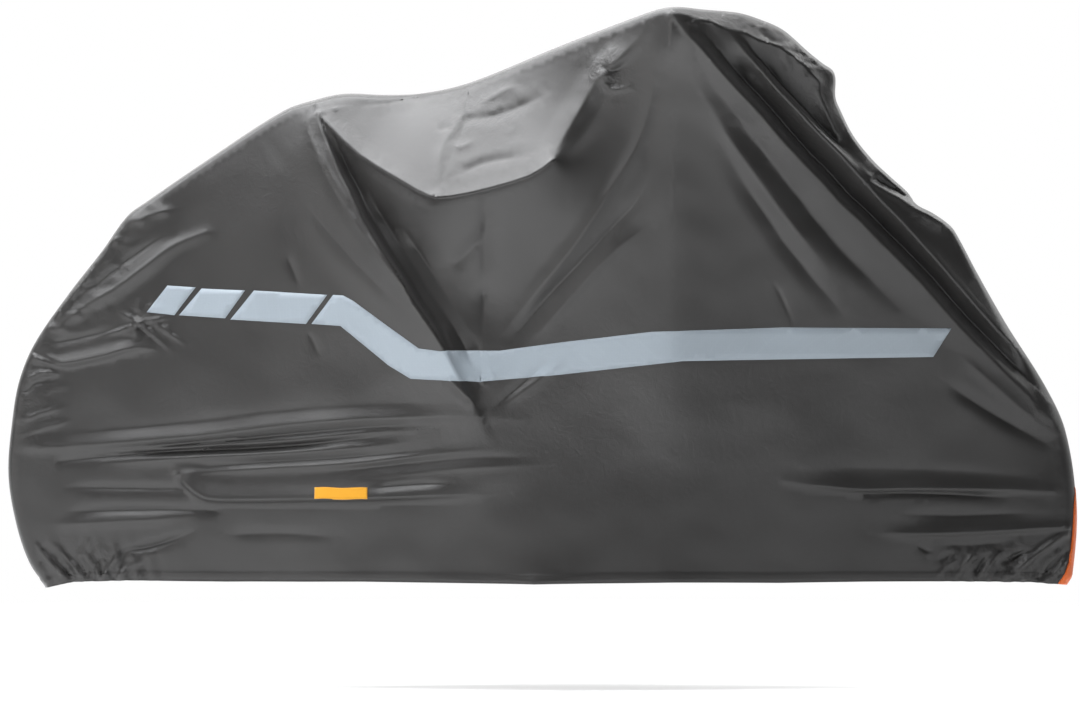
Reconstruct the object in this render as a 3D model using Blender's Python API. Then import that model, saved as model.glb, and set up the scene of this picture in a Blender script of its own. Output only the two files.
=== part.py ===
"""A fitted bicycle cover: one hollow shell of coated nylon, open along its hem.

X runs from the tail to the nose, Z up. The origin is where the cover rests on the handlebar,
under its top, on the middle plane. Stations are measured from the tail and heights from the hem.
"""

import math

import bmesh
import bpy
import numpy as np
from mathutils import Vector
from mathutils.geometry import delaunay_2d_cdt

MM = 0.001

# Driving sizes, in metres.
LENGTH = 1.802
HEIGHT = 0.968
GRIP_HALF_WIDTH = 0.300
CLOTH = 0.002
HEM_EXTRA = 0.0012
HEM_DEPTH = 0.018
GAP = 0.00042
TRIM = 0.0009
REST_STATION = 1.140
STEP = 0.0135
CLOTH_TRIANGLES = 5450

# The sizes at which the tables below were drawn up, in millimetres.
TABLE_LENGTH, TABLE_HEIGHT, TABLE_GRIP = 1802, 968, 300

# The side outline from the rear hem corner over the top to the front one.
OUTLINE = (
    # station, height, half-width just inside the edge, depth of the rounded edge
    (63, -12, 20, 10),
    (34, 32, 24, 9),
    (12, 100, 26, 8),
    (0, 181, 27, 8),
    (7, 272, 27, 8),
    (19, 338, 27, 8),
    (45, 400, 27, 8),
    (100, 480, 27, 8),
    (159, 556, 30, 8),
    (201, 614, 32, 8),
    (232, 637, 36, 8),
    (331, 705, 44, 7),
    (466, 792, 60, 7),
    (522, 811, 60, 8),
    (568, 820, 58, 8),
    (640, 818, 44, 8),
    (700, 821, 34, 8),
    (779, 839, 66, 8),
    (931, 900, 152, 8),
    (1058, 948, 248, 8),
    (1095, 960, 284, 8),
    (1126, 964, 272, 8),
    (1170, 960, 245, 8),
    (1227, 955, 228, 8),
    (1262, 945, 216, 8),
    (1303, 927, 206, 8),
    (1346, 890, 200, 8),
    (1371, 870, 196, 8),
    (1387, 859, 192, 8),
    (1392, 846, 190, 8),
    (1392, 814, 187, 8),
    (1400, 793, 184, 8),
    (1422, 750, 177, 8),
    (1455, 709, 166, 8),
    (1487, 679, 157, 8),
    (1514, 655, 143, 8),
    (1530, 634, 135, 8),
    (1556, 620, 127, 8),
    (1580, 604, 118, 8),
    (1594, 590, 110, 8),
    (1634, 517, 88, 9),
    (1682, 434, 62, 12),
    (1750, 326, 36, 16),
    (1784, 250, 27, 18),
    (1802, 126, 27, 20),
    (1795, 10, 23, 20),
    (1786, -7, 20, 18),
)

# The hem, from the nose back to the tail.
HEM = (
    # station, height, half-width
    (1786, -7, 20),
    (1720, -2, 34),
    (1600, 0, 54),
    (1440, 1, 84),
    (1300, 0, 112),
    (1120, 2, 150),
    (887, 0, 172),
    (600, 2, 112),
    (372, 0, 62),
    (200, 1, 40),
    (110, -2, 27),
    (63, -12, 20),
)

# The taut lines between what holds the cloth out, each a run of (station, height, half-width).
CREASES = {
    "saddle_edge": ((523, 788, 82), (553, 794, 84), (621, 803, 60), (693, 814, 30)),
    "drape_rear": (
        (523, 788, 82), (545, 766, 104), (571, 739, 122), (596, 717, 140), (630, 695, 165),
        (664, 675, 186), (694, 657, 204), (721, 645, 214),
    ),
    "drape_middle": (
        (721, 645, 214), (747, 647, 216), (781, 653, 221), (814, 661, 228), (847, 670, 236),
        (880, 681, 244), (905, 696, 250), (919, 708, 252),
    ),
    "drape_fold": (
        (721, 645, 214), (732, 675, 194), (745, 703, 174), (758, 729, 154), (770, 762, 128),
        (771, 796, 100), (778, 823, 78),
    ),
    "saddle_ridge": (
        (523, 788, 82), (531, 759, 96), (545, 726, 107), (562, 684, 119), (576, 659, 126),
        (599, 608, 140), (633, 553, 154), (663, 508, 162), (688, 466, 167), (717, 425, 170),
        (730, 403, 170), (755, 355, 167), (772, 324, 163), (785, 303, 160),
    ),
    "drape_valley": ((803, 481, 146), (800, 411, 151), (797, 331, 157)),
    "top_band": (
        (1115, 952, 300), (1145, 944, 294), (1178, 936, 286), (1208, 923, 272), (1232, 920, 268),
        (1257, 907, 262), (1295, 895, 250), (1329, 871, 240), (1349, 849, 232), (1361, 836, 226),
    ),
    "hump": ((1361, 836, 226), (1361, 818, 224), (1376, 783, 214), (1393, 748, 200)),
    "grip_ridge": (
        (1115, 952, 300), (1135, 922, 298), (1162, 893, 291), (1195, 855, 280), (1228, 819, 268),
        (1262, 784, 254), (1295, 746, 240), (1329, 708, 226), (1363, 675, 212), (1397, 637, 196),
        (1431, 607, 183), (1464, 573, 169), (1498, 540, 156), (1533, 505, 142), (1567, 466, 128),
        (1601, 429, 114), (1635, 395, 100), (1670, 360, 84), (1704, 326, 68), (1739, 290, 50),
        (1774, 254, 32),
    ),
    "outer_ridge": (
        (1208, 923, 272), (1228, 898, 268), (1245, 877, 264), (1262, 859, 260), (1295, 821, 252),
        (1329, 786, 240), (1362, 751, 226), (1396, 718, 211), (1433, 678, 193), (1464, 643, 178),
        (1498, 610, 164), (1532, 573, 149), (1566, 536, 133), (1601, 496, 116), (1635, 457, 99),
        (1670, 418, 80), (1696, 393, 64), (1717, 373, 50),
    ),
    "lower_hump": (
        (1433, 678, 193), (1464, 662, 180), (1498, 643, 165), (1518, 630, 154), (1549, 617, 142),
        (1571, 603, 132),
    ),
    "front_panel": ((1115, 952, 300), (1111, 900, 290)),
}

# Troughs that run beside a crease.
TROUGHS = (
    # the crease, from and to along it, how far to its left, how much lower in millimetres
    ("grip_ridge", 0.03, 0.98, 3, 2.2),
    ("grip_ridge", 0.03, 0.98, 20, 34),
    ("outer_ridge", 0.02, 0.96, 3, 2.2),
    ("outer_ridge", 0.02, 0.46, 11, 30),
    ("lower_hump", 0.05, 0.90, 10, 24),
    ("saddle_ridge", 0.00, 0.85, 6, 7),
    ("saddle_ridge", 0.08, 0.85, 16, 16),
    ("saddle_ridge", 0.25, 0.85, 32, 22),
    ("saddle_ridge", 0.40, 0.80, 52, 23),
)

# How far the cloth stands proud along a crease, in millimetres: the crease, the rise, the reach to
# its left and right, and the shares of its length over which it starts and ends.
CRESTS = (
    # crease, rise, left, right, start, end
    ("saddle_ridge", 18, 10, 85, 0.4, 0.4),
    ("grip_ridge", 8, 30, 40, 0.3, 0.3),
    ("outer_ridge", 5, 18, 22, 0.6, 0.3),
    ("drape_rear", 5, 22, 6, 0, 1),
    ("drape_middle", 5, 20, 6, 1, 0.4),
)

# The larger folds pressed into the taut panels.
FOLDS = (
    # rise, reach to the left and right of travel, strength at the start and end, stations and heights
    (-9, 28, 22, 0.3, 0,
        (1158, 877), (1191, 823), (1212, 796), (1233, 766), (1257, 735), (1279, 708),
        (1297, 685), (1316, 660), (1335, 637), (1353, 612), (1375, 587), (1397, 561),
        (1419, 538), (1443, 515), (1474, 484), (1511, 451), (1543, 424)),
    (6, 16, 16, 0, 0,
        (1163, 816), (1183, 788), (1218, 733), (1255, 683), (1294, 630), (1331, 583),
        (1369, 538), (1416, 488)),
    (-7, 18, 24, 0, 0,
        (1193, 733), (1207, 713), (1225, 687), (1245, 657), (1266, 627), (1283, 603),
        (1299, 578), (1316, 557), (1333, 536), (1353, 510), (1381, 478), (1409, 441),
        (1425, 421)),
    (-7, 18, 14, 0, 0.3, (1569, 343), (1624, 304), (1680, 270), (1748, 232)),
    (-6, 12, 16, 0.6, 0, (774, 776), (807, 779), (841, 788), (877, 803), (914, 821)),
    (15, 30, 24, 0.3, 0.2, (924, 725), (955, 778), (993, 841), (1038, 887), (1076, 923)),
    (-5, 12, 14, 0, 0.2, (751, 678), (806, 703), (884, 715)),
    (16, 170, 170, 1, 0.3, (1116, 791), (1120, 475), (1124, 141)),
    (-7, 11, 15, 0.2, 0, (850, 405), (905, 475), (964, 538), (1017, 595), (1063, 648), (1080, 700)),
    (7, 18, 12, 0.2, 0.2,
        (839, 425), (905, 505), (955, 567), (1005, 642), (1063, 741), (1088, 841)),
    (5, 10, 15, 0, 0, (880, 400), (955, 488), (1022, 558), (1088, 605)),
    (8, 8, 14, 0.8, 0, (747, 341), (769, 320), (790, 298)),
    (5, 10, 15, 0.5, 0.1, (510, 755), (533, 695), (571, 628), (622, 558), (680, 483), (722, 425)),
    (8, 11, 20, 0.6, 0.5, (92, 436), (140, 469), (187, 497), (233, 531), (279, 565), (335, 588)),
    (-6, 12, 8, 0.3, 0, (114, 474), (165, 511), (208, 544), (242, 568), (283, 590)),
    (5, 12, 15, 0.4, 0, (205, 602), (242, 617), (290, 628)),
    (9, 20, 9, 0.6, 0, (47, 374), (88, 366), (156, 378), (216, 393), (269, 387)),
    (-6, 34, 13, 0.3, 0, (804, 628), (807, 598), (804, 558), (800, 508)),
    (-5, 20, 22, 0, 0, (807, 598), (787, 565), (760, 538), (744, 522)),
    (9, 22, 13, 0.4, 0.1,
        (37, 224), (88, 227), (156, 231), (241, 238), (326, 246), (411, 256), (495, 267),
        (579, 274), (663, 278), (764, 280), (864, 275)),
    (15, 44, 7, 0.9, 0,
        (300, 165), (317, 150), (339, 140), (393, 138), (528, 141), (629, 143), (730, 147),
        (830, 151)),
    (-5, 9, 9, 0, 0.6, (88, 116), (190, 120), (292, 121), (351, 120)),
    (-7, 8, 10, 0, 0.2, (183, 48), (241, 58), (278, 70), (309, 82)),
    (9, 22, 6, 0.2, 0.2,
        (1307, 170), (1358, 163), (1408, 158), (1444, 156), (1502, 157), (1586, 156),
        (1672, 154), (1760, 150)),
    (7, 12, 6, 0, 0.6, (1454, 83), (1519, 81), (1595, 82), (1672, 85), (1731, 88), (1789, 90)),
    (8, 11, 8, 0.8, 0.6, (1692, 9), (1723, 35), (1757, 60), (1786, 80)),
)

PUCKERS = 11
PUCKER_LENGTH, PUCKER_RISE, PUCKER_REACH = 60, 2.5, 8
GATHER_REACH_TAIL, GATHER_REACH_NOSE = 230, 240

# The retroreflective band, in four lengths, on each side.
BAND = {
    "band_rear": ((270, 498), (318, 495), (282, 448), (235, 453)),
    "band_rear_middle": ((328, 493), (402, 490), (368, 443), (290, 448)),
    "band_middle": ((417, 490), (541, 483), (505, 434), (377, 441)),
    "band_long": (
        (551, 483), (568, 482), (585, 473), (640, 433), (695, 394), (728, 390), (830, 390),
        (931, 404), (1083, 422), (1303, 429), (1586, 427), (1556, 379), (1134, 373),
        (931, 350), (796, 338), (681, 343), (644, 365), (563, 431), (514, 434),
    ),
}
SIDE_TAB = ((519, 159), (608, 161), (608, 143), (519, 141))
NOSE_TAPE = (
    (1799, 154), (1797, 118), (1795, 86), (1792, 52), (1788, 30), (1782, 12), (1772, -2),
    (1768, -20), (1768, -30), (1830, -30), (1830, 154),
)


def clear_scene():
    for old in list(bpy.data.objects):
        bpy.data.objects.remove(old, do_unlink=True)


def material(name, colour, roughness, metallic=0.0):
    made = bpy.data.materials.new(name)
    made.use_nodes = True
    shader = made.node_tree.nodes["Principled BSDF"]
    shader.inputs["Base Color"].default_value = (*colour, 1.0)
    shader.inputs["Roughness"].default_value = roughness
    shader.inputs["Metallic"].default_value = metallic
    made.diffuse_color = (*colour, 1.0)
    return made


def charcoal_nylon():
    return material("charcoal_nylon", (0.052, 0.051, 0.050), 0.46)


def reflective_film():
    return material("reflective_film", (0.40, 0.45, 0.49), 0.38)


def amber_webbing():
    return material("amber_webbing", (0.80, 0.36, 0.02), 0.6)


def orange_tape():
    return material("orange_tape", (0.70, 0.13, 0.012), 0.55)


def to_metres(rows):
    """Table rows of (station, height, half-width, ...) at the cover's real size."""
    rows = np.array(rows, float)
    scale = [LENGTH / TABLE_LENGTH, HEIGHT / TABLE_HEIGHT, GRIP_HALF_WIDTH / TABLE_GRIP, MM]
    return rows * np.array(scale[: rows.shape[1]])


def spline(rows, step):
    """A smooth line through the rows, with a point about every step."""
    rows = np.asarray(rows, float)
    padded = np.vstack([2 * rows[0] - rows[1], rows, 2 * rows[-1] - rows[-2]])
    found = []
    for a, b, c, d in zip(padded, padded[1:], padded[2:], padded[3:]):
        count = max(1, round(np.hypot(*(c - b)[:2]) / step))
        reach = np.hypot(*(c - b)[:2])
        m0 = (c - a) * reach / max(np.hypot(*(c - a)[:2]), 1e-9)
        m1 = (d - b) * reach / max(np.hypot(*(d - b)[:2]), 1e-9)
        for t in np.arange(count) / count:
            found.append(
                (2 * t**3 - 3 * t**2 + 1) * b + (t**3 - 2 * t**2 + t) * m0
                + (3 * t**2 - 2 * t**3) * c + (t**3 - t**2) * m1
            )
    found.append(rows[-1])
    return np.array(found)


def polyline(rows, step):
    """Straight runs between the rows, with a point about every step."""
    found = []
    for a, b in zip(rows, rows[1:]):
        count = max(1, round(np.hypot(*(b - a)[:2]) / step))
        found += [a + (b - a) * i / count for i in range(count)]
    return np.array(found + [rows[-1]])


def nearest(points, line):
    """The distance of each point from the line, and where along the line's points it is nearest."""
    best = np.full(len(points), 1e9)
    where = np.zeros(len(points))
    for i, (a, b) in enumerate(zip(line[:-1, :2], line[1:, :2])):
        run = b - a
        t = np.clip((points - a) @ run / max(run @ run, 1e-12), 0, 1)
        away = np.hypot(*(points - a - t[:, None] * run).T)
        closer = away < best
        best[closer], where[closer] = away[closer], i + t[closer]
    return best, where


def inside(points, loop):
    x, y = points.T
    found = np.zeros(len(points), bool)
    for (ax, ay), (bx, by) in zip(loop, np.roll(loop, -1, axis=0)):
        if ay == by:
            continue
        crosses = (ay > y) != (by > y)
        found ^= crosses & (x < ax + (y - ay) * (bx - ax) / (by - ay))
    return found


def at(line, where):
    """The line's columns at these places along it."""
    i = np.clip(where.astype(int), 0, len(line) - 2)
    t = (where - i)[:, None]
    return line[i] * (1 - t) + line[i + 1] * t


def beside(line, offset):
    """The line moved sideways, to the left of its travel."""
    run = np.gradient(line[:, :2], axis=0)
    side = np.stack([-run[:, 1], run[:, 0]], axis=1)
    return line[:, :2] + offset * side / np.maximum(np.linalg.norm(side, axis=1), 1e-9)[:, None]


def crease_lines(step):
    """The creases and the troughs beside them, with half-widths."""
    lines = {name: polyline(to_metres(rows), step) for name, rows in CREASES.items()}
    found = list(lines.values())
    for name, start, end, offset, lower in TROUGHS:
        ridge = lines[name]
        t = np.arange(len(ridge)) / (len(ridge) - 1)
        kept = (t >= start) & (t <= end)
        deep = np.clip((t - start) / 0.12, 0, 1) * np.clip((end - t) / 0.12, 0, 1)
        floor = np.column_stack([beside(ridge, offset * MM), ridge[:, 2] - lower * MM * deep])
        found.append(floor[kept])
    return found


def side_layout(step):
    """One side laid flat: its points, its triangles, and which points are fixed and how far out."""
    outline = spline(to_metres(OUTLINE), step)
    hem = polyline(to_metres(HEM), step)
    loop = np.vstack([outline[:, :2], hem[1:-1, :2]])
    points = [row for row in loop]
    width = list(outline[:, 2]) + list(hem[1:-1, 2])
    fixed = [True] * len(loop)
    edges = [(i, (i + 1) % len(loop)) for i in range(len(loop))]

    inward = beside(outline, -1) - outline[:, :2]
    for turn in (26, 48, 70, 92):
        depth = outline[:, 3] * (1 - math.cos(math.radians(turn)))
        ring = outline[:, :2] + inward * depth[:, None]
        away, _ = nearest(ring, outline)
        keep = inside(ring, loop) & (away > 0.97 * depth) & (nearest(ring, hem)[0] > 0.4 * step)
        points += list(ring[keep])
        width += [0.0] * keep.sum()
        fixed += [False] * keep.sum()

    creases = crease_lines(step)
    folds = [fold_line(row, step) for row in FOLDS]
    placed = {}

    def clear(flat):
        return inside(flat, loop) & (nearest(flat, loop)[0] > 0.4 * step)

    for line in creases + folds:
        held = line.shape[1] > 2
        previous = None
        for row in line:
            key = tuple(np.round(row[:2], 5))
            if not held and not clear(row[None, :2])[0]:
                previous = None
                continue
            if key not in placed:
                placed[key] = len(points)
                points.append(row[:2])
                width.append(row[2] if held else 0.0)
                fixed.append(held)
            if previous is not None:
                edges.append((previous, placed[key]))
            previous = placed[key]

    columns = np.arange(0, LENGTH, step)
    rows = np.arange(step * 0.8, HEIGHT, step * math.sqrt(3) / 2)
    grid = np.array([(x + (j % 2) * step / 2, z) for j, z in enumerate(rows) for x in columns])
    grid = grid[inside(grid, loop)]
    away, where = nearest(grid, outline)
    edge = at(outline, where)[:, 3] * 1.04 + 0.45 * step
    grid = grid[(away > edge) & (nearest(grid, hem)[0] > 0.6 * step)]
    for line in creases + folds:
        grid = grid[nearest(grid, line)[0] > 0.62 * step]
    points += list(grid)
    width += [0.0] * len(grid)
    fixed += [False] * len(grid)

    found, _, faces, origins, _, _ = delaunay_2d_cdt([Vector(p) for p in points], edges, [], 0, 1e-6)
    first = [min(origin) if origin else -1 for origin in origins]
    flat = np.array([tuple(p) for p in found])
    width = np.array([width[i] if i >= 0 else 0.0 for i in first])
    fixed = np.array([fixed[i] if i >= 0 else False for i in first])
    rim = np.array([0 <= i < len(outline) for i in first])
    faces = np.array([f for f in faces if len(f) == 3])
    faces = faces[inside(flat[faces].mean(axis=1), loop)]
    used = np.unique(faces)
    index = np.full(len(flat), -1)
    index[used] = np.arange(len(used))
    faces = index[faces]
    flat, width, fixed, rim = flat[used], width[used], fixed[used], rim[used]
    corners = flat[faces]
    a, b = corners[:, 1] - corners[:, 0], corners[:, 2] - corners[:, 0]
    turned = a[:, 0] * b[:, 1] - a[:, 1] * b[:, 0] < 0
    faces[turned] = faces[turned][:, ::-1]
    return flat, faces, width, fixed, rim, outline, hem


def membrane(flat, faces, width, fixed):
    """The half-width of cloth pulled taut between the fixed points."""
    ends, weight = [], []
    for i, j, k in ((0, 1, 2), (1, 2, 0), (2, 0, 1)):
        a, b = flat[faces[:, i]] - flat[faces[:, k]], flat[faces[:, j]] - flat[faces[:, k]]
        cross = np.abs(a[:, 0] * b[:, 1] - a[:, 1] * b[:, 0])
        ends.append(faces[:, [i, j]])
        weight.append(np.clip((a * b).sum(axis=1) / np.maximum(cross, 1e-12), 0.05, 20))
    ends, weight = np.vstack(ends), np.concatenate(weight)

    def pull(values):
        step = weight * (values[ends[:, 0]] - values[ends[:, 1]])
        return (
            np.bincount(ends[:, 0], step, len(flat)) - np.bincount(ends[:, 1], step, len(flat))
        )

    free = ~fixed
    total = np.bincount(ends[:, 0], weight, len(flat)) + np.bincount(ends[:, 1], weight, len(flat))
    values = np.where(fixed, width, 0.1)
    residual = -pull(values) * free
    scaled = residual / total
    run, size = scaled.copy(), residual @ scaled
    for _ in range(1200):
        if size < 1e-14:
            break
        along = pull(run) * free
        far = size / (run @ along)
        values += far * run
        residual -= far * along
        scaled = residual / total
        size, before = residual @ scaled, size
        run = scaled + size / before * run
    return values, ends


def relaxed(values, ends, fixed, rounds):
    """The values eased toward their neighbours' mean, but for the fixed ones."""
    count = np.bincount(ends.ravel(), minlength=len(values))
    for _ in range(rounds):
        total = np.bincount(ends[:, 0], values[ends[:, 1]], len(values))
        total += np.bincount(ends[:, 1], values[ends[:, 0]], len(values))
        values = np.where(fixed, values, 0.5 * values + 0.5 * total / count)
    return values


def fold_line(row, step):
    """The line that a row of FOLDS runs along."""
    return spline(to_metres(row[5:]), step)


def fold_rise(flat, line, rise, left, right, start=0.0, end=0.0):
    """A fold along a line, with its own reach on each side and its own strength at each end."""
    margin = max(left, right) * MM
    low, high = line.min(axis=0) - margin, line.max(axis=0) + margin
    close = np.flatnonzero(((flat > low) & (flat < high)).all(axis=1))
    rises = np.zeros(len(flat))
    if not len(close):
        return rises
    near = flat[close]
    away, where = nearest(near, line)
    run = at(np.gradient(line, axis=0), where)
    foot = at(line, where)
    side = run[:, 0] * (near - foot)[:, 1] - run[:, 1] * (near - foot)[:, 0]
    reach = np.where(side > 0, left, right) * MM
    soft = 0.12 * reach + 0.6 * MM
    t = np.clip(where / (len(line) - 1), 0, 1)
    grow = np.clip(t / 0.3, 0, 1)
    fade = np.clip((1 - t) / 0.4, 0, 1)
    along = start + (1 - start) * grow * grow * (3 - 2 * grow)
    along *= end + (1 - end) * fade * fade * (3 - 2 * fade)
    profile = np.clip(1 - (np.sqrt(away**2 + soft**2) - soft) / reach, 0, 1) ** 1.6
    rises[close] = rise * MM * along * profile
    return rises


def waves(flat, seed):
    """Long shallow unevenness of slack cloth."""
    x, z = flat.T
    total = np.zeros(len(flat))
    for i, (length, size) in enumerate(((0.31, 1.5), (0.19, 0.9), (0.115, 0.45))):
        turn = seed + 2.4 * i
        total += size * MM * np.sin(
            2 * np.pi * (x * math.cos(turn) + z * math.sin(turn)) / length + 5 * math.sin(3 * turn)
            + 1.3 * np.sin(2 * np.pi * (z * math.cos(turn) - x * math.sin(turn)) / (1.7 * length))
        )
    return total


def gathers(flat, seed):
    """The pleats that the elastic draws in at both ends of the hem."""
    station, height = flat[:, 0] / MM, flat[:, 1] / MM
    total = np.zeros(len(flat))
    for start, end, reach in ((40, 40 + GATHER_REACH_TAIL, 1), (1795 - GATHER_REACH_NOSE, 1795, -1)):
        t = np.clip((station - start) / (end - start), 0, 1)
        strength = np.sin(np.pi * t) ** 0.7
        lean = 0.25 * reach * height
        pleat = np.sin(2 * np.pi * (station + lean) / 31 + seed + 1.1 * np.sin(station / 37))
        total += 4.2 * MM * strength * pleat * np.exp(-np.clip(height, 0, None) / 34)
    return total


def half_widths(flat, membrane_width, outline, seed, shift, share):
    """How far out one side's cloth stands at each point."""
    moved = flat - np.array(shift) * MM
    width = membrane_width.copy()
    for row in FOLDS:
        width += share * fold_rise(moved, fold_line(row, 0.5 * STEP), *row[:5])
    for name, *row in CRESTS:
        width += fold_rise(flat, polyline(to_metres(CREASES[name]), 0.5 * STEP)[:, :2], *row)
    tail = outline[(outline[:, 1] > 0.25) & (outline[:, 0] < 0.25)]
    for i in range(PUCKERS):
        foot = at(tail, np.array([(i + 0.5) / PUCKERS * (len(tail) - 1)]))[0, :2] / MM
        length = PUCKER_LENGTH * (0.75 + 0.5 * ((i * 7) % 5) / 4)
        ahead = foot + np.array([length, -0.2 * length + 9 * math.sin(i + seed)])
        mid = (foot + ahead) / 2 + np.array([0, 5 * math.cos(2 * i + seed)])
        line = spline(to_metres([foot, mid, ahead]), 0.5 * STEP)
        width += fold_rise(flat, line, PUCKER_RISE, 1.5 * PUCKER_REACH, PUCKER_REACH)
    away, where = nearest(flat, outline)
    depth = at(outline, where)[:, 3]
    calm = np.clip(away / 0.05, 0, 1)
    width += waves(flat, seed) * calm + gathers(flat, seed)
    round_edge = np.sqrt(1 - (1 - np.clip(away / depth, 0, 1)) ** 2)
    return np.maximum(width, 0.012) * round_edge


def cover_sheet():
    """The whole cover's middle surface: both sides, joined along the outline."""
    flat, faces, width, fixed, rim, outline, _ = side_layout(STEP)
    taut, ends = membrane(flat, faces, width, fixed)
    taut = relaxed(taut, ends, fixed, 1)
    near = -half_widths(flat, taut, outline, 0.7, (0, 0), 1.0)
    far = half_widths(flat, taut, outline, 3.9, (16, -10), 0.85)
    near[rim] = far[rim] = 0.0
    other = np.arange(len(flat))
    other[~rim] = len(flat) + np.arange((~rim).sum())
    x = flat[:, 0] - REST_STATION
    z = flat[:, 1] - HEIGHT + 0.0015
    points = np.vstack([np.stack([x, near, z], 1), np.stack([x, far, z], 1)[~rim]])
    return points, np.vstack([faces, other[faces][:, ::-1]])


def new_mesh(name, points, faces):
    mesh = bpy.data.meshes.new(name)
    mesh.from_pydata([tuple(p) for p in points], [], [tuple(int(i) for i in f) for f in faces])
    mesh.update()
    return mesh


def coarser(points, faces, triangles):
    """The same surface with fewer triangles, kept where the folds are."""
    obj = bpy.data.objects.new("sheet", new_mesh("sheet", points, faces))
    bpy.context.collection.objects.link(obj)
    fewer = obj.modifiers.new("fewer", "DECIMATE")
    fewer.ratio = triangles / len(faces)
    fewer.use_collapse_triangulate = True
    mesh = bpy.data.meshes.new_from_object(obj.evaluated_get(bpy.context.evaluated_depsgraph_get()))
    bpy.data.objects.remove(obj, do_unlink=True)
    points = np.array([tuple(v.co) for v in mesh.vertices])
    faces = np.array([tuple(p.vertices) for p in mesh.polygons])
    bpy.data.meshes.remove(mesh)
    return points, faces


def outward(points, faces):
    """A unit direction out of the cloth at each point."""
    corners = points[faces]
    normal = np.cross(corners[:, 1] - corners[:, 0], corners[:, 2] - corners[:, 0])
    total = np.zeros_like(points)
    for i in range(3):
        a = corners[:, (i + 1) % 3] - corners[:, i]
        b = corners[:, (i + 2) % 3] - corners[:, i]
        cosine = (a * b).sum(1) / np.maximum(np.linalg.norm(a, axis=1) * np.linalg.norm(b, axis=1), 1e-12)
        angle = np.arccos(np.clip(cosine, -1, 1))
        unit = normal / np.maximum(np.linalg.norm(normal, axis=1), 1e-12)[:, None]
        np.add.at(total, faces[:, i], unit * angle[:, None])
    return total / np.linalg.norm(total, axis=1)[:, None]


def shell(points, faces, direction, low, high):
    """A closed solid between two offsets of the sheet."""
    low, high = (np.broadcast_to(v, len(points))[:, None] for v in (low, high))
    count = len(points)
    ends = np.vstack([faces[:, [0, 1]], faces[:, [1, 2]], faces[:, [2, 0]]])
    present = set(map(tuple, ends))
    border = [(a, b) for a, b in map(tuple, ends) if (b, a) not in present]
    walls = [(b, a, a + count) for a, b in border] + [(b, a + count, b + count) for a, b in border]
    solid = np.vstack([faces, faces[:, ::-1] + count, np.array(walls)])
    return np.vstack([points + direction * high, points + direction * low]), solid


def node(name, mesh, skin):
    obj = bpy.data.objects.new(name, mesh)
    mesh.materials.append(skin)
    bpy.context.collection.objects.link(obj)
    return obj


def cover_cloth(points, faces, direction, skin):
    height = points[:, 2] + HEIGHT
    thick = CLOTH + HEM_EXTRA * (height < HEM_DEPTH * 0.8)
    solid = shell(points, faces, direction, -CLOTH / 2 - (thick - CLOTH), CLOTH / 2)
    return node("cover_cloth", new_mesh("cover_cloth", *solid), skin)


def prism(name, rows, near_y, far_y):
    """The cutter that gives a trim piece its outline."""
    ring = to_metres(rows)
    ring[:, 0] -= REST_STATION
    ring[:, 1] -= HEIGHT - 0.0015
    bm = bmesh.new()
    front = [bm.verts.new((x, near_y, z)) for x, z in ring]
    face = bm.faces.new(front)
    back = bmesh.ops.extrude_face_region(bm, geom=[face])["geom"]
    moved = [v for v in back if isinstance(v, bmesh.types.BMVert)]
    bmesh.ops.translate(bm, verts=moved, vec=(0, far_y - near_y, 0))
    bmesh.ops.triangulate(bm, faces=bm.faces[:])
    bmesh.ops.recalc_face_normals(bm, faces=bm.faces[:])
    mesh = bpy.data.meshes.new(name)
    bm.to_mesh(mesh)
    bm.free()
    obj = bpy.data.objects.new(name, mesh)
    bpy.context.collection.objects.link(obj)
    obj.hide_render = True
    obj.display_type = "WIRE"
    return obj


def trim_piece(name, rows, side, points, faces, direction, skin, lift=0.0, thick=TRIM):
    """A flat piece that follows the cloth just outside it, cut to the outline in rows."""
    ring = to_metres(rows)
    low = ring.min(axis=0) - 0.12
    high = ring.max(axis=0) + 0.12
    middle = points[faces].mean(axis=1)
    x, z = middle[:, 0] + REST_STATION, middle[:, 2] + HEIGHT - 0.0015
    keep = (x > low[0]) & (x < high[0]) & (z > low[1]) & (z < high[1])
    if side:
        keep &= middle[:, 1] * side > 0
    used = np.unique(faces[keep])
    index = np.full(len(points), -1)
    index[used] = np.arange(len(used))
    base = CLOTH / 2 + GAP + lift
    solid = shell(points[used], index[faces[keep]], direction[used], base, base + thick)
    obj = node(name, new_mesh(name, *solid), skin)
    span = (side * 0.6, side * 0.004) if side else (-0.2, 0.2)
    cut = obj.modifiers.new("outline", "BOOLEAN")
    cut.operation, cut.solver = "INTERSECT", "EXACT"
    cut.object = prism(name + "_outline", rows, *span)
    return obj


def main():
    clear_scene()
    sheet = coarser(*cover_sheet(), CLOTH_TRIANGLES)
    direction = outward(*sheet)
    nylon, film = charcoal_nylon(), reflective_film()
    cover_cloth(*sheet, direction, nylon)
    for name, rows in BAND.items():
        trim_piece(name + "_right", rows, -1, *sheet, direction, film)
        trim_piece(name + "_left", rows, 1, *sheet, direction, film)
    trim_piece("side_tab", SIDE_TAB, -1, *sheet, direction, amber_webbing(), thick=0.0016)
    trim_piece("nose_tape", NOSE_TAPE, 0, *sheet, direction, orange_tape())


main()
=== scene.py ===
"""Dresses the fitted bicycle cover: draped nylon, reflective film, webbing tab, nose tape and stitching."""

import math

import bpy
import numpy as np
from bpy.props import FloatProperty, FloatVectorProperty, PointerProperty
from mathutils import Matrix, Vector
from mathutils.bvhtree import BVHTree
from mathutils.geometry import delaunay_2d_cdt


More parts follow.
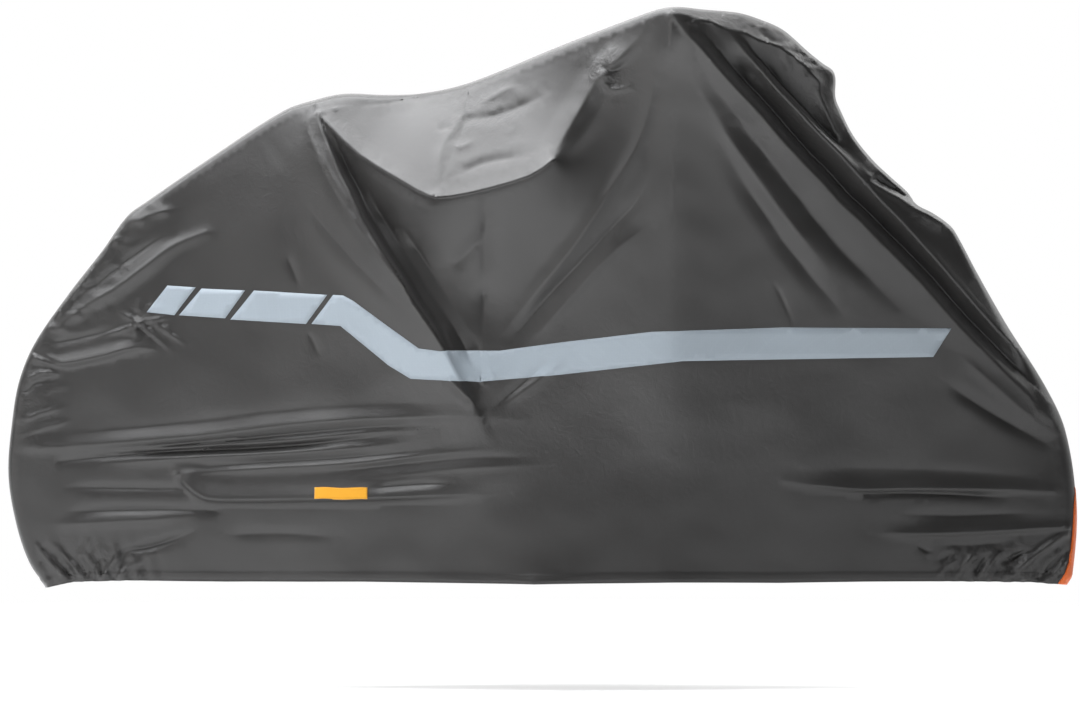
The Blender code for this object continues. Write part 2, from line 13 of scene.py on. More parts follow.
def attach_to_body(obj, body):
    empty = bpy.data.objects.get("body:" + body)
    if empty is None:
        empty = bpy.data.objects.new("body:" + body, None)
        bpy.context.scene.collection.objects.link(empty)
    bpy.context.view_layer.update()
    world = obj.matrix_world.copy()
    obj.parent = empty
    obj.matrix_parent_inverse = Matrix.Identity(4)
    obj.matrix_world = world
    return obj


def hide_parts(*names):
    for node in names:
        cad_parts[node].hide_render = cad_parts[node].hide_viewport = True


bl_info = {
    "name": "Bicycle Cover",
    "version": (1, 0, 0),
    "blender": (4, 5, 0),
    "location": "3D View > Sidebar > Cover",
    "description": "Builds a draped, fitted bicycle cover with its reflective bands, tab, tape and stitching",
    "category": "Add Mesh",
}

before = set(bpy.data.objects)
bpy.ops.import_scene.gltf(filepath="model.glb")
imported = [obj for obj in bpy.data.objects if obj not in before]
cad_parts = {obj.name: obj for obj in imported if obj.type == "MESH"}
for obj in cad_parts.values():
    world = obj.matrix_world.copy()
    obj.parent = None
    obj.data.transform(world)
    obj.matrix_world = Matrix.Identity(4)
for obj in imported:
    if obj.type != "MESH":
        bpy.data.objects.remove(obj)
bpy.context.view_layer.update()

MM = 0.001

# The sizes at which the tables below were drawn up, in millimetres.
TABLE_LENGTH, TABLE_HEIGHT, TABLE_GRIP = 1802, 968, 300

# The side outline from the rear hem corner over the top to the front one.
OUTLINE = (
    # station, height, half-width just inside the edge, depth of the rounded edge
    (63, -12, 20, 10),
    (34, 32, 24, 9),
    (12, 100, 26, 8),
    (0, 181, 27, 8),
    (7, 272, 27, 8),
    (19, 338, 27, 8),
    (45, 400, 27, 8),
    (100, 480, 27, 8),
    (159, 556, 30, 8),
    (201, 614, 32, 8),
    (232, 637, 36, 8),
    (331, 705, 44, 7),
    (466, 792, 60, 7),
    (522, 811, 60, 8),
    (568, 820, 58, 8),
    (640, 818, 44, 8),
    (700, 821, 34, 8),
    (779, 839, 66, 8),
    (931, 900, 152, 8),
    (1058, 948, 248, 8),
    (1095, 960, 284, 8),
    (1126, 964, 272, 8),
    (1170, 960, 245, 8),
    (1227, 955, 228, 8),
    (1262, 945, 216, 8),
    (1303, 927, 206, 8),
    (1346, 890, 200, 8),
    (1371, 870, 196, 8),
    (1387, 859, 192, 8),
    (1392, 846, 190, 8),
    (1392, 814, 187, 8),
    (1400, 793, 184, 8),
    (1422, 750, 177, 8),
    (1455, 709, 166, 8),
    (1487, 679, 157, 8),
    (1514, 655, 143, 8),
    (1530, 634, 135, 8),
    (1556, 620, 127, 8),
    (1580, 604, 118, 8),
    (1594, 590, 110, 8),
    (1634, 517, 88, 9),
    (1682, 434, 62, 12),
    (1750, 326, 36, 16),
    (1784, 250, 27, 18),
    (1802, 126, 27, 20),
    (1795, 10, 23, 20),
    (1786, -7, 20, 18),
)

# The hem, from the nose back to the tail.
HEM = (
    # station, height, half-width
    (1786, -7, 20),
    (1720, -2, 34),
    (1600, 0, 54),
    (1440, 1, 84),
    (1300, 0, 112),
    (1120, 2, 150),
    (887, 0, 172),
    (600, 2, 112),
    (372, 0, 62),
    (200, 1, 40),
    (110, -2, 27),
    (63, -12, 20),
)

# The taut lines between what holds the cloth out, each a run of (station, height, half-width).
CREASES = {
    "saddle_edge": ((523, 788, 82), (553, 794, 84), (621, 803, 60), (693, 814, 30)),
    "drape_rear": (
        (523, 788, 82), (545, 766, 104), (571, 739, 122), (596, 717, 140), (630, 695, 165),
        (664, 675, 186), (694, 657, 204), (721, 645, 214),
    ),
    "drape_middle": (
        (721, 645, 214), (747, 647, 216), (781, 653, 221), (814, 661, 228), (847, 670, 236),
        (880, 681, 244), (905, 696, 250), (919, 708, 252),
    ),
    "drape_fold": (
        (721, 645, 214), (732, 675, 194), (745, 703, 174), (758, 729, 154), (770, 762, 128),
        (771, 796, 100), (778, 823, 78),
    ),
    "saddle_ridge": (
        (523, 788, 82), (531, 759, 96), (545, 726, 107), (562, 684, 119), (576, 659, 126),
        (599, 608, 140), (633, 553, 154), (663, 508, 162), (688, 466, 167), (717, 425, 170),
        (730, 403, 170), (755, 355, 167), (772, 324, 163), (785, 303, 160),
    ),
    "drape_valley": ((803, 481, 146), (800, 411, 151), (797, 331, 157)),
    "top_band": (
        (1115, 952, 300), (1145, 944, 294), (1178, 936, 286), (1208, 923, 272), (1232, 920, 268),
        (1257, 907, 262), (1295, 895, 250), (1329, 871, 240), (1349, 849, 232), (1361, 836, 226),
    ),
    "hump": ((1361, 836, 226), (1361, 818, 224), (1376, 783, 214), (1393, 748, 200)),
    "grip_ridge": (
        (1115, 952, 300), (1135, 922, 298), (1162, 893, 291), (1195, 855, 280), (1228, 819, 268),
        (1262, 784, 254), (1295, 746, 240), (1329, 708, 226), (1363, 675, 212), (1397, 637, 196),
        (1431, 607, 183), (1464, 573, 169), (1498, 540, 156), (1533, 505, 142), (1567, 466, 128),
        (1601, 429, 114), (1635, 395, 100), (1670, 360, 84), (1704, 326, 68), (1739, 290, 50),
        (1774, 254, 32),
    ),
    "outer_ridge": (
        (1208, 923, 272), (1228, 898, 268), (1245, 877, 264), (1262, 859, 260), (1295, 821, 252),
        (1329, 786, 240), (1362, 751, 226), (1396, 718, 211), (1433, 678, 193), (1464, 643, 178),
        (1498, 610, 164), (1532, 573, 149), (1566, 536, 133), (1601, 496, 116), (1635, 457, 99),
        (1670, 418, 80), (1696, 393, 64), (1717, 373, 50),
    ),
    "lower_hump": (
        (1433, 678, 193), (1464, 662, 180), (1498, 643, 165), (1518, 630, 154), (1549, 617, 142),
        (1571, 603, 132),
    ),
    "front_panel": ((1115, 952, 300), (1111, 900, 290)),
}

# Troughs that run beside a crease.
TROUGHS = (
    # the crease, from and to along it, how far to its left, how much lower in millimetres
    ("grip_ridge", 0.03, 0.98, 3, 2.2),
    ("grip_ridge", 0.03, 0.98, 20, 34),
    ("outer_ridge", 0.02, 0.96, 3, 2.2),
    ("outer_ridge", 0.02, 0.46, 11, 30),
    ("lower_hump", 0.05, 0.90, 10, 24),
    ("saddle_ridge", 0.00, 0.85, 6, 7),
    ("saddle_ridge", 0.08, 0.85, 16, 16),
    ("saddle_ridge", 0.25, 0.97, 32, 21),
    ("saddle_ridge", 0.40, 0.97, 52, 20),
)

# How far the cloth stands proud along a crease, in millimetres: the crease, the rise, the reach to
# its left and right, and the shares of its length over which it starts and ends.
CRESTS = (
    # crease, rise, left, right, start, end
    ("saddle_ridge", 18, 10, 85, 0.4, 0.4),
    ("grip_ridge", 8, 30, 40, 0.3, 0.3),
    ("outer_ridge", 5, 18, 22, 0.6, 0.3),
    ("drape_rear", 5, 22, 6, 0, 1),
    ("drape_middle", 5, 20, 6, 1, 0.4),
)

# Folds pressed into the taut panels.
FOLDS = (
    # rise, reach to the left and right of travel, strength at the start and end, stations and heights
    (
        -9, 28, 22, 0.3, 0, (1158, 877), (1191, 823), (1212, 796), (1233, 766), (1257, 735), (1279, 708),
        (1297, 685), (1316, 660), (1335, 637), (1353, 612), (1375, 587), (1397, 561), (1419, 538),
        (1443, 515), (1474, 484), (1511, 451), (1543, 424),
    ),
    (
        6, 16, 16, 0, 0, (1163, 816), (1183, 788), (1218, 733), (1255, 683), (1294, 630), (1331, 583),
        (1369, 538), (1416, 488),
    ),
    (
        -7, 18, 24, 0, 0, (1193, 733), (1207, 713), (1225, 687), (1245, 657), (1266, 627), (1283, 603),
        (1299, 578), (1316, 557), (1333, 536), (1353, 510), (1381, 478), (1409, 441), (1425, 421),
    ),
    (-2, 4, 5, 0, 0.3, (1284, 508), (1296, 488), (1306, 468), (1317, 441)),
    (-7, 18, 14, 0, 0.3, (1569, 343), (1624, 304), (1680, 270), (1748, 232)),
    (4, 14, 12, 0, 0.3, (1594, 386), (1654, 336), (1705, 292), (1760, 251)),
    (-6, 12, 16, 0.6, 0, (774, 776), (807, 779), (841, 788), (877, 803), (914, 821)),
    (4, 9, 9, 0, 0, (794, 801), (834, 824), (864, 834)),
    (15, 30, 24, 0.3, 0.2, (924, 725), (955, 778), (993, 841), (1038, 887), (1076, 923)),
    (-6, 8, 9, 0, 0, (993, 867), (1017, 856), (1046, 871)),
    (5, 8, 9, 0, 0, (997, 841), (1023, 824), (1056, 837)),
    (4, 14, 12, 0.5, 0.2, (777, 821), (769, 788), (751, 761), (732, 725), (727, 668)),
    (-3, 6, 7, 0, 0, (724, 758), (757, 765)),
    (3.5, 6, 6, 0, 0, (744, 736), (767, 731), (791, 745)),
    (-5, 12, 14, 0, 0.2, (751, 678), (806, 703), (884, 715)),
    (16, 170, 170, 1, 0.3, (1116, 791), (1120, 475), (1124, 141)),
    (-7, 11, 15, 0.2, 0, (850, 405), (905, 475), (964, 538), (1017, 595), (1063, 648), (1080, 700)),
    (7, 18, 12, 0.2, 0.2, (839, 425), (905, 505), (955, 567), (1005, 642), (1063, 741), (1088, 841)),
    (5, 10, 15, 0, 0, (880, 400), (955, 488), (1022, 558), (1088, 605)),
    (8, 8, 14, 0.8, 0, (747, 341), (769, 320), (790, 298)),
    (-4, 9, 9, 0, 0, (814, 288), (864, 333), (930, 388)),
    (3, 8, 9, 0, 0, (839, 300), (897, 342), (955, 388)),
    (5, 10, 15, 0.5, 0.1, (510, 755), (533, 695), (571, 628), (622, 558), (680, 483), (722, 425)),
    (-4, 11, 13, 0, 0, (492, 648), (555, 575), (627, 500), (693, 438)),
    (3, 5, 6, 0, 0, (526, 725), (555, 672), (590, 617)),
    (-3, 5, 6, 0, 0, (472, 550), (495, 495)),
    (-2.5, 6, 6, 0, 0, (509, 421), (529, 377)),
    (8, 11, 20, 0.6, 0.5, (92, 436), (140, 469), (187, 497), (233, 531), (279, 565), (335, 588)),
    (-6, 12, 8, 0.3, 0, (114, 474), (165, 511), (208, 544), (242, 568), (283, 590)),
    (5, 6, 8, 1, 0.5, (85, 453), (123, 499), (160, 553), (191, 591)),
    (-3, 5, 5, 0, 0, (99, 474), (140, 528), (177, 575)),
    (5, 12, 15, 0.4, 0, (205, 602), (242, 617), (290, 628)),
    (9, 20, 9, 0.6, 0, (47, 374), (88, 366), (156, 378), (216, 393), (269, 387)),
    (-4, 9, 10, 0.5, 0, (54, 399), (92, 404), (148, 416), (194, 427)),
    (-4, 5, 5, 1, 0.2, (46, 386), (68, 372), (93, 361)),
    (6, 7, 6, 1, 0, (37, 342), (58, 350), (88, 349)),
    (-3, 5, 5, 1, 0, (30, 318), (46, 332), (71, 337)),
    (5, 5, 6, 0.2, 0.1, (187, 454), (225, 432), (255, 407), (279, 387)),
    (4, 5, 6, 0, 0, (146, 410), (191, 423), (230, 437), (289, 447)),
    (3, 4, 4, 0, 0, (242, 440), (272, 419), (306, 395)),
    (-2.5, 4, 4, 0, 0, (201, 444), (242, 412), (269, 392)),
    (3, 6, 5, 0.6, 0, (27, 271), (57, 283), (98, 293)),
    (3, 5, 5, 0.6, 0, (27, 247), (64, 259), (109, 271)),
    (-6, 34, 13, 0.3, 0, (804, 628), (807, 598), (804, 558), (800, 508)),
    (-5, 20, 22, 0, 0, (807, 598), (787, 565), (760, 538), (744, 522)),
    (
        9, 22, 13, 0.4, 0.1, (37, 224), (88, 227), (156, 231), (241, 238), (326, 246), (411, 256),
        (495, 267), (579, 274), (663, 278), (764, 280), (864, 275),
    ),
    (-1.5, 14, 12, 0, 0, (54, 244), (156, 253), (292, 267), (428, 285), (546, 295), (697, 303)),
    (-4, 4, 5, 0, 0, (122, 221), (241, 228), (360, 237), (495, 250), (630, 262), (747, 268)),
    (3, 4, 4, 0, 0, (190, 216), (326, 229), (495, 241), (629, 254), (730, 259)),
    (
        -9, 6, 9, 0.3, 0, (88, 202), (156, 209), (241, 217), (343, 222), (427, 226), (495, 231), (579, 240),
        (683, 251),
    ),
    (5, 5, 9, 0, 0, (156, 198), (292, 208), (410, 214), (512, 221), (613, 230), (713, 241)),
    (-4, 7, 7, 0, 0, (326, 193), (427, 201), (545, 208), (713, 224)),
    (4, 7, 8, 0, 0, (241, 179), (410, 189), (579, 200), (730, 218), (864, 228)),
    (-3, 7, 7, 0, 0, (545, 186), (663, 199), (780, 210), (897, 213)),
    (2, 8, 8, 0, 0, (579, 173), (680, 184), (780, 194), (930, 201)),
    (
        15, 44, 7, 0.9, 0, (300, 165), (317, 150), (339, 140), (393, 138), (528, 141), (629, 143),
        (730, 147), (830, 151),
    ),
    (-4, 9, 9, 0, 0.8, (88, 158), (190, 157), (295, 156)),
    (-5, 9, 9, 0, 0.6, (88, 116), (190, 120), (292, 121), (351, 120)),
    (4, 12, 11, 0, 0, (61, 94), (173, 100), (317, 108)),
    (-5, 7, 7, 0, 0, (609, 158), (680, 165), (757, 168)),
    (-7, 8, 10, 0, 0.2, (183, 48), (241, 58), (278, 70), (309, 82)),
    (-3, 10, 10, 0, 0, (359, 78), (461, 82), (562, 76)),
    (6, 5, 6, 0.3, 1, (49, 60), (67, 35), (91, 10)),
    (6, 5, 6, 0.2, 1, (73, 64), (95, 42), (120, 12)),
    (-5, 4, 4, 0.2, 1, (61, 55), (81, 30), (105, 7)),
    (5, 5, 5, 0.1, 1, (130, 47), (141, 30), (152, 10)),
    (5, 5, 5, 1, 0.1, (163, 10), (178, 32), (197, 55)),
    (-4.5, 4, 4, 0.1, 1, (149, 42), (158, 26), (159, 9)),
    (3.5, 6, 6, 1, 0, (188, 9), (205, 24), (231, 36)),
    (-4, 5, 5, 0.1, 1, (108, 42), (122, 25), (132, 9)),
    (
        9, 22, 6, 0.2, 0.2, (1307, 170), (1358, 163), (1408, 158), (1444, 156), (1502, 157), (1586, 156),
        (1672, 154), (1760, 150),
    ),
    (-4, 3, 8, 0.7, 0, (1441, 150), (1502, 151), (1586, 148), (1709, 140)),
    (-1.5, 13, 11, 0, 0, (1332, 193), (1434, 192), (1569, 188), (1740, 177)),
    (7, 12, 6, 0, 0.6, (1454, 83), (1519, 81), (1595, 82), (1672, 85), (1731, 88), (1789, 90)),
    (-3, 7, 8, 0, 0, (1495, 115), (1587, 112), (1672, 113), (1743, 116)),
    (-3, 8, 14, 0, 0, (1561, 62), (1638, 63), (1706, 69)),
    (8, 11, 8, 0.8, 0.6, (1692, 9), (1723, 35), (1757, 60), (1786, 80)),
    (-7, 6, 6, 0, 0, (1673, 29), (1699, 42), (1723, 54)),
    (5, 5, 5, 1, 0.1, (1645, 14), (1662, 37), (1680, 54)),
    (-4.5, 4, 5, 1, 0, (1631, 14), (1645, 34), (1655, 49)),
    (5, 5, 5, 1, 0, (1604, 13), (1617, 34), (1633, 51)),
    (-4, 5, 5, 0, 0, (1566, 33), (1597, 50)),
    (-4, 5, 5, 0, 0, (1531, 62), (1554, 48)),
    (-5, 5, 6, 1, 0.4, (1740, 5), (1762, 27), (1786, 50)),
    (4.5, 4, 5, 1, 0.4, (1757, 3), (1776, 23), (1791, 43)),
    (4, 5, 5, 1, 0, (1570, 13), (1583, 28), (1600, 36)),
    (-4, 4, 4, 0, 0, (1189, 941), (1203, 952), (1220, 949)),
    (-4, 4, 4, 0, 0, (1250, 926), (1277, 938), (1297, 928)),
    (-4.5, 4, 5, 0, 0, (1258, 920), (1283, 906), (1307, 898)),
    (3, 4, 4, 0, 0, (1218, 947), (1260, 930), (1300, 920)),
    (-4, 4, 4, 0, 0, (1317, 878), (1341, 869), (1368, 865)),
    (3, 4, 5, 0, 0, (1297, 905), (1331, 888), (1358, 872)),
)

# Small creases scattered where the cloth is crushed or pulled, in millimetres.
CRINKLES = (
    # station, height, half-spread each way; count, lie in degrees, turn either way, length, rise, reach
    (1180, 944, 66, 20, 34, -18, 50, 40, 1.7, 5),
    (1345, 885, 42, 45, 28, -50, 50, 46, 2.1, 6),
    (1545, 628, 42, 30, 14, -50, 40, 42, 1.7, 6),
    (120, 520, 70, 90, 26, -24, 26, 74, 1.5, 7),
    (44, 330, 40, 110, 24, 8, 22, 66, 1.5, 7),
    (235, 440, 45, 34, 14, 0, 90, 46, 1.8, 5),
    (560, 740, 46, 60, 8, -60, 14, 90, 1.0, 8),
    (800, 790, 60, 40, 8, 60, 60, 42, 1.2, 8),
    (1015, 845, 36, 44, 10, 72, 40, 48, 2.0, 9),
    (130, 34, 72, 30, 22, 80, 30, 48, 2.0, 6),
    (1690, 32, 90, 28, 28, 100, 30, 48, 2.0, 6),
    (1310, 790, 90, 90, 18, -48, 16, 80, 1.3, 6),
    (900, 300, 640, 170, 30, 0, 34, 130, 0.5, 15),
    (1740, 300, 40, 60, 14, -62, 30, 54, 1.4, 7),
    (500, 640, 120, 90, 14, -50, 30, 90, 0.9, 12),
)

# Short folds that run in from the seam round the tail, in millimetres.
PUCKERS = 11
PUCKER_LENGTH, PUCKER_RISE, PUCKER_REACH = 60, 1.8, 7

# The two runs of the hem that the elastic gathers, each from its end inward, in millimetres.
GATHERED = ((40, 270, 1), (1795 - 240, 1795, -1))
# The broad and the fine pleats in them: pitch, rise, and the height over which they fade.
PLEAT = (31, 4.2, 34)
FINE_PLEAT = (11.5, 0.9, 16)

# Long shallow waves of slack cloth: length in metres, rise in millimetres.
WAVES = ((0.31, 1.5), (0.19, 0.9), (0.115, 0.45), (0.074, 0.2))
WAVES_CALM = 0.05  # how near the seam they start to fade

# The reflective film, in four lengths, on each side.
FILM = {
    "rear": ((270, 498), (318, 495), (282, 448), (235, 453)),
    "rear_middle": ((328, 493), (402, 490), (368, 443), (290, 448)),
    "middle": ((417, 490), (541, 483), (505, 434), (377, 441)),
    "long": (
        (551, 483), (568, 482), (585, 473), (640, 433), (695, 394), (728, 390), (830, 390),
        (931, 404), (1083, 422), (1303, 429), (1586, 427), (1556, 379), (1134, 373),
        (931, 350), (796, 338), (681, 343), (644, 365), (563, 431), (514, 434),
    ),
}

# The side tab: the stations where it starts and ends, and the heights of its edges.
SIDE_TAB = (519, 608, 141, 160)
TAB_GRID = (46, 12)  # mesh cells along and up
TAB_THICK = 0.0017
TAB_GAP, TAB_LIFT = 0.0003, 0.0004  # how far its inner and its outer face start off the cloth
TAB_BOW = 0.0009  # how far its middle stands off
TAB_ROUND = 0.0016  # the reach of its rounded edge
TAB_RIPPLE = 0.0006  # how far its long edges wander
TAB_STITCH_INSET = (0.004, 0.003)  # from the tab's ends and its long edges

# The nose tape's edge on each side, from its top down.
TAPE_EDGE = (
    (1799, 154), (1797, 118), (1795, 86), (1792, 52), (1788, 30), (1782, 12), (1772, -2), (1768, -20),
)
TAPE_THICK = 0.0016

TRIM_GAP = 0.0002  # between the cloth and the film or tape on it

# Places on the right side with a finer mesh, in millimetres.
FINE = (
    # station, height, half-size along and up, spacing
    (1240, 912, 170, 66, 4.6),
    (100, 470, 75, 190, 5.2),
    (236, 432, 62, 50, 4.2),
    (150, 30, 120, 44, 4.4),
    (1680, 34, 118, 50, 4.4),
    (790, 760, 70, 60, 5.4),
    (1030, 860, 60, 40, 5.0),
)

# The mesh of each side. Lengths are in millimetres, shares are of the side's own spacing.
SEAM_TURNS = (22, 38, 54, 72, 92)  # degrees round the rounded edge, a ring of points at each
HEM_ROWS = (6, 11.5, 16.2, 19.8, 24)
BESIDE = {-1: (3, -3, 8, -8), 1: (6, -6)}
LINE_SHARE, LEAST_SHARE = 0.8, 0.72
CLEAR, LEAST_BESIDE, CLEAR_RING = 2.2, 2.6, 3.0
FOLD_STEP = 6

# The two sides, right (-1) and left (1): what seeds their small shapes, how far their folds are
# moved in millimetres, and the share of the folds' rise.
SEEDS = {-1: 0.7, 1: 3.9}
SHIFTS = {-1: (0, 0), 1: (16, -10)}
SHARES = {-1: 1.0, 1: 0.85}

TROUGH_TAPER = 0.12  # share of the crease over which a trough deepens and ends
FOLD_POWER = 1.6
FOLD_GROW, FOLD_FADE = 0.3, 0.4  # shares of a fold's length over which its strength changes
LEAST_WIDTH = 0.012  # the cloth's least half-width inside the rounded edge
TOP_LIFT = 0.0015  # how far the whole cloth is raised above the tables' heights

# The turned hem and the seam, in metres.
HEM_OUT, HEM_IN, HEM_EDGE = 0.0016, 0.0008, 0.001
GROOVES = ((0.0162, 1.0), (0.0060, 0.6))  # height above the hem, share of the depth
GROOVE_DEPTH, GROOVE_REACH = 0.0014, 0.0016
SEAM_RISE, SEAM_REACH, SEAM_START = 0.0009, 0.0042, 0.02

# The two stitch rows of the hem: stations left free at each end, and how far they lie below its top.
HEM_STITCH_ENDS = (0.085, 0.045)
HEM_STITCH_DROPS = (0.0035, 0.0085)
HEM_STITCH_LIFT = 0.0008

# The studio's lights, round the middle of the view; StageSettings holds the power of each.
SOFTBOXES = (
    # name, tint, place, what it faces, size
    ("overhead", (0.97, 0.98, 1.0), (-0.75, -0.15, 2.0), (-0.2, 0.0, 0.0), (2.8, 3.0)),
    ("left", (1.0, 0.99, 0.98), (-4.7, -3.1, -0.1), (0.0, 0.0, 0.0), (2.2, 2.4)),
    ("back", (1.0, 1.0, 1.0), (-0.9, 3.4, 1.2), (0.0, 0.0, -0.1), (2.6, 1.8)),
    ("right", (1.0, 1.0, 1.0), (1.5, 0.9, 1.5), (0.3, 0.0, 0.3), (1.0, 1.6)),
)

# The studio floor and where it glows.
FLOOR_RADIUS, FLOOR_SIDES = 3.4, 96
FLOOR_GLOW = (-0.65, -1.7, 0)
VIEW_STATION, VIEW_HEIGHT = 0.897, 0.369  # the middle of the view

WHITE, BLACK = (1, 1, 1, 1), (0, 0, 0, 1)


class CoverSizes(bpy.types.PropertyGroup):
    """The sizes that the cover is made to."""

    length: FloatProperty(name="Length", description="Tail to nose", default=1.802, unit="LENGTH")
    height: FloatProperty(name="Height", description="Hem to top", default=0.968, unit="LENGTH")
    grip_half_width: FloatProperty(
        name="Half Width at the Grips", description="Middle plane to the grip", default=0.300, unit="LENGTH"
    )
    rest_station: FloatProperty(
        name="Rest Station", description="Tail to the point that rests on the bar", default=1.140,
        unit="LENGTH",
    )
    cloth: FloatProperty(name="Cloth", description="Thickness of the cloth", default=0.0012, unit="LENGTH")
    film: FloatProperty(name="Film", description="Thickness of the film", default=0.0004, unit="LENGTH")
    hem_depth: FloatProperty(
        name="Hem Depth", description="Depth of the turned hem", default=0.018, unit="LENGTH"
    )
    edge_spacing: FloatProperty(
        name="Edge Spacing", description="Mesh spacing along the outline and the hem", default=0.0052,
        unit="LENGTH",
    )
    near_spacing: FloatProperty(
        name="Right Side Spacing", description="Mesh spacing on the right side", default=0.0085, unit="LENGTH"
    )
    far_spacing: FloatProperty(
        name="Left Side Spacing", description="Mesh spacing on the left side", default=0.0155, unit="LENGTH"
    )
    stitch_pitch: FloatProperty(
        name="Stitch Pitch", description="From one stitch to the next", default=0.0038, unit="LENGTH"
    )
    stitch_length: FloatProperty(
        name="Stitch Length", description="Length of one stitch", default=0.0029, unit="LENGTH"
    )
    thread: FloatProperty(name="Thread", description="Thickness of the thread", default=0.0007, unit="LENGTH")


class CoverColours(bpy.types.PropertyGroup):
    """The colours that the cover is dyed and printed in."""

    nylon: FloatVectorProperty(
        name="Nylon", description="Coated cloth", subtype="COLOR", size=3, default=(0.0175, 0.0167, 0.0161)
    )
    film: FloatVectorProperty(
        name="Film", description="Reflective film", subtype="COLOR", size=3, default=(0.262, 0.302, 0.338)
    )
    amber: FloatVectorProperty(
        name="Amber", description="Side tab", subtype="COLOR", size=3, default=(0.72, 0.33, 0.008)
    )
    orange: FloatVectorProperty(
        name="Orange", description="Nose tape", subtype="COLOR", size=3, default=(0.74, 0.13, 0.008)
    )
    floor: FloatVectorProperty(
        name="Floor", description="Studio floor", subtype="COLOR", size=3, default=(0.86, 0.86, 0.86)
    )


class StageSettings(bpy.types.PropertyGroup):
    """The studio round the cover."""

    ground_gap: FloatProperty(
        name="Ground Gap", description="Floor to the hem", default=0.18, unit="LENGTH"
    )
    overhead: FloatProperty(
        name="Overhead", description="Power of the overhead softbox", default=205, unit="POWER"
    )
    left: FloatProperty(name="Left", description="Power of the left softbox", default=66, unit="POWER")
    back: FloatProperty(name="Back", description="Power of the softbox behind", default=20, unit="POWER")
    right: FloatProperty(
        name="Right", description="Power of the strip behind and right", default=14, unit="POWER"
    )
    backdrop: FloatProperty(name="Backdrop", description="Brightness of the wall behind", default=1.1)
    distance: FloatProperty(
        name="Camera Distance", description="Camera to the cover", default=14, unit="LENGTH"
    )
    field: FloatProperty(
        name="Field Width", description="Width of the view at the cover", default=1.825, unit="LENGTH"
    )
    elevation: FloatProperty(
        name="Camera Elevation", description="Above the horizon", subtype="ANGLE", default=math.radians(1.0)
    )


def sizes():
    """The sizes set in the panel."""
    return bpy.context.scene.cover_sizes


def colours():
    """The colours set in the panel."""
    return bpy.context.scene.cover_colours


# ---- Shape ----


def to_metres(rows):
    """Table rows of (station, height, half-width, ...) at the cover's real size."""
    rows = np.array(rows, float)
    s = sizes()
    scale = [s.length / TABLE_LENGTH, s.height / TABLE_HEIGHT, s.grip_half_width / TABLE_GRIP, MM]
    return rows * np.array(scale[: rows.shape[1]])


def spline(rows, step):
    """A smooth line through the rows, with a point about every step."""
    rows = np.asarray(rows, float)
    padded = np.vstack([2 * rows[0] - rows[1], rows, 2 * rows[-1] - rows[-2]])
    found = []
    for a, b, c, d in zip(padded, padded[1:], padded[2:], padded[3:]):
        reach = np.hypot(*(c - b)[:2])
        count = max(1, round(reach / step))
        m0 = (c - a) * reach / max(np.hypot(*(c - a)[:2]), 1e-9)
        m1 = (d - b) * reach / max(np.hypot(*(d - b)[:2]), 1e-9)
        for t in np.arange(count) / count:
            found.append(
                (2 * t**3 - 3 * t**2 + 1) * b
                + (t**3 - 2 * t**2 + t) * m0
                + (3 * t**2 - 2 * t**3) * c
                + (t**3 - t**2) * m1
            )
    found.append(rows[-1])
    return np.array(found)


def polyline(rows, step):
    """Straight runs between the rows, with a point about every step."""
    found = []
    for a, b in zip(rows, rows[1:]):
        count = max(1, round(np.hypot(*(b - a)[:2]) / step))
        found += [a + (b - a) * i / count for i in range(count)]
    return np.array(found + [rows[-1]])


def nearest(points, line):
    """The distance of each point from the line, and where along the line's points it is nearest."""
    best = np.full(len(points), 1e9)
    where = np.zeros(len(points))
    for i, (a, b) in enumerate(zip(line[:-1, :2], line[1:, :2])):
        run = b - a
        t = np.clip((points - a) @ run / max(run @ run, 1e-12), 0, 1)
        away = np.hypot(*(points - a - t[:, None] * run).T)
        closer = away < best
        best[closer], where[closer] = away[closer], i + t[closer]
    return best, where


def inside(points, loop):
    """Which points lie within the loop."""
    x, y = points.T
    found = np.zeros(len(points), bool)
    for (ax, ay), (bx, by) in zip(loop, np.roll(loop, -1, axis=0)):
        if ay == by:
            continue
        crosses = (ay > y) != (by > y)
        found ^= crosses & (x < ax + (y - ay) * (bx - ax) / (by - ay))
    return found


def at(line, where):
    """The line's columns at these places along it."""
    i = np.clip(where.astype(int), 0, len(line) - 2)
    t = (where - i)[:, None]
    return line[i] * (1 - t) + line[i + 1] * t


def thinned(candidates, taken, gap):
    """The candidates that stand at least gap away from the points taken and from each other."""
    cells = {}
    for p in taken:
        cells.setdefault((int(p[0] // gap), int(p[1] // gap)), []).append(p)
    kept = []
    for p in candidates:
        i, j = int(p[0] // gap), int(p[1] // gap)
        close = (q for a in (i - 1, i, i + 1) for b in (j - 1, j, j + 1) for q in cells.get((a, b), ()))
        if all((p[0] - q[0]) ** 2 + (p[1] - q[1]) ** 2 >= gap * gap for q in close):
            kept.append(p)
            cells.setdefault((i, j), []).append(p)
    return kept


def hexagons(low, high, step):
    """Evenly spaced points over a rectangle."""
    rows = np.arange(low[1], high[1], step * math.sqrt(3) / 2)
    columns = np.arange(low[0], high[0], step)
    return np.array([(x + (j % 2) * step / 2, z) for j, z in enumerate(rows) for x in columns])


def beside(line, offset):
    """The line moved sideways, to the left of its travel."""
    run = np.gradient(line[:, :2], axis=0)
    side = np.stack([-run[:, 1], run[:, 0]], axis=1)
    return line[:, :2] + offset * side / np.maximum(np.linalg.norm(side, axis=1), 1e-9)[:, None]


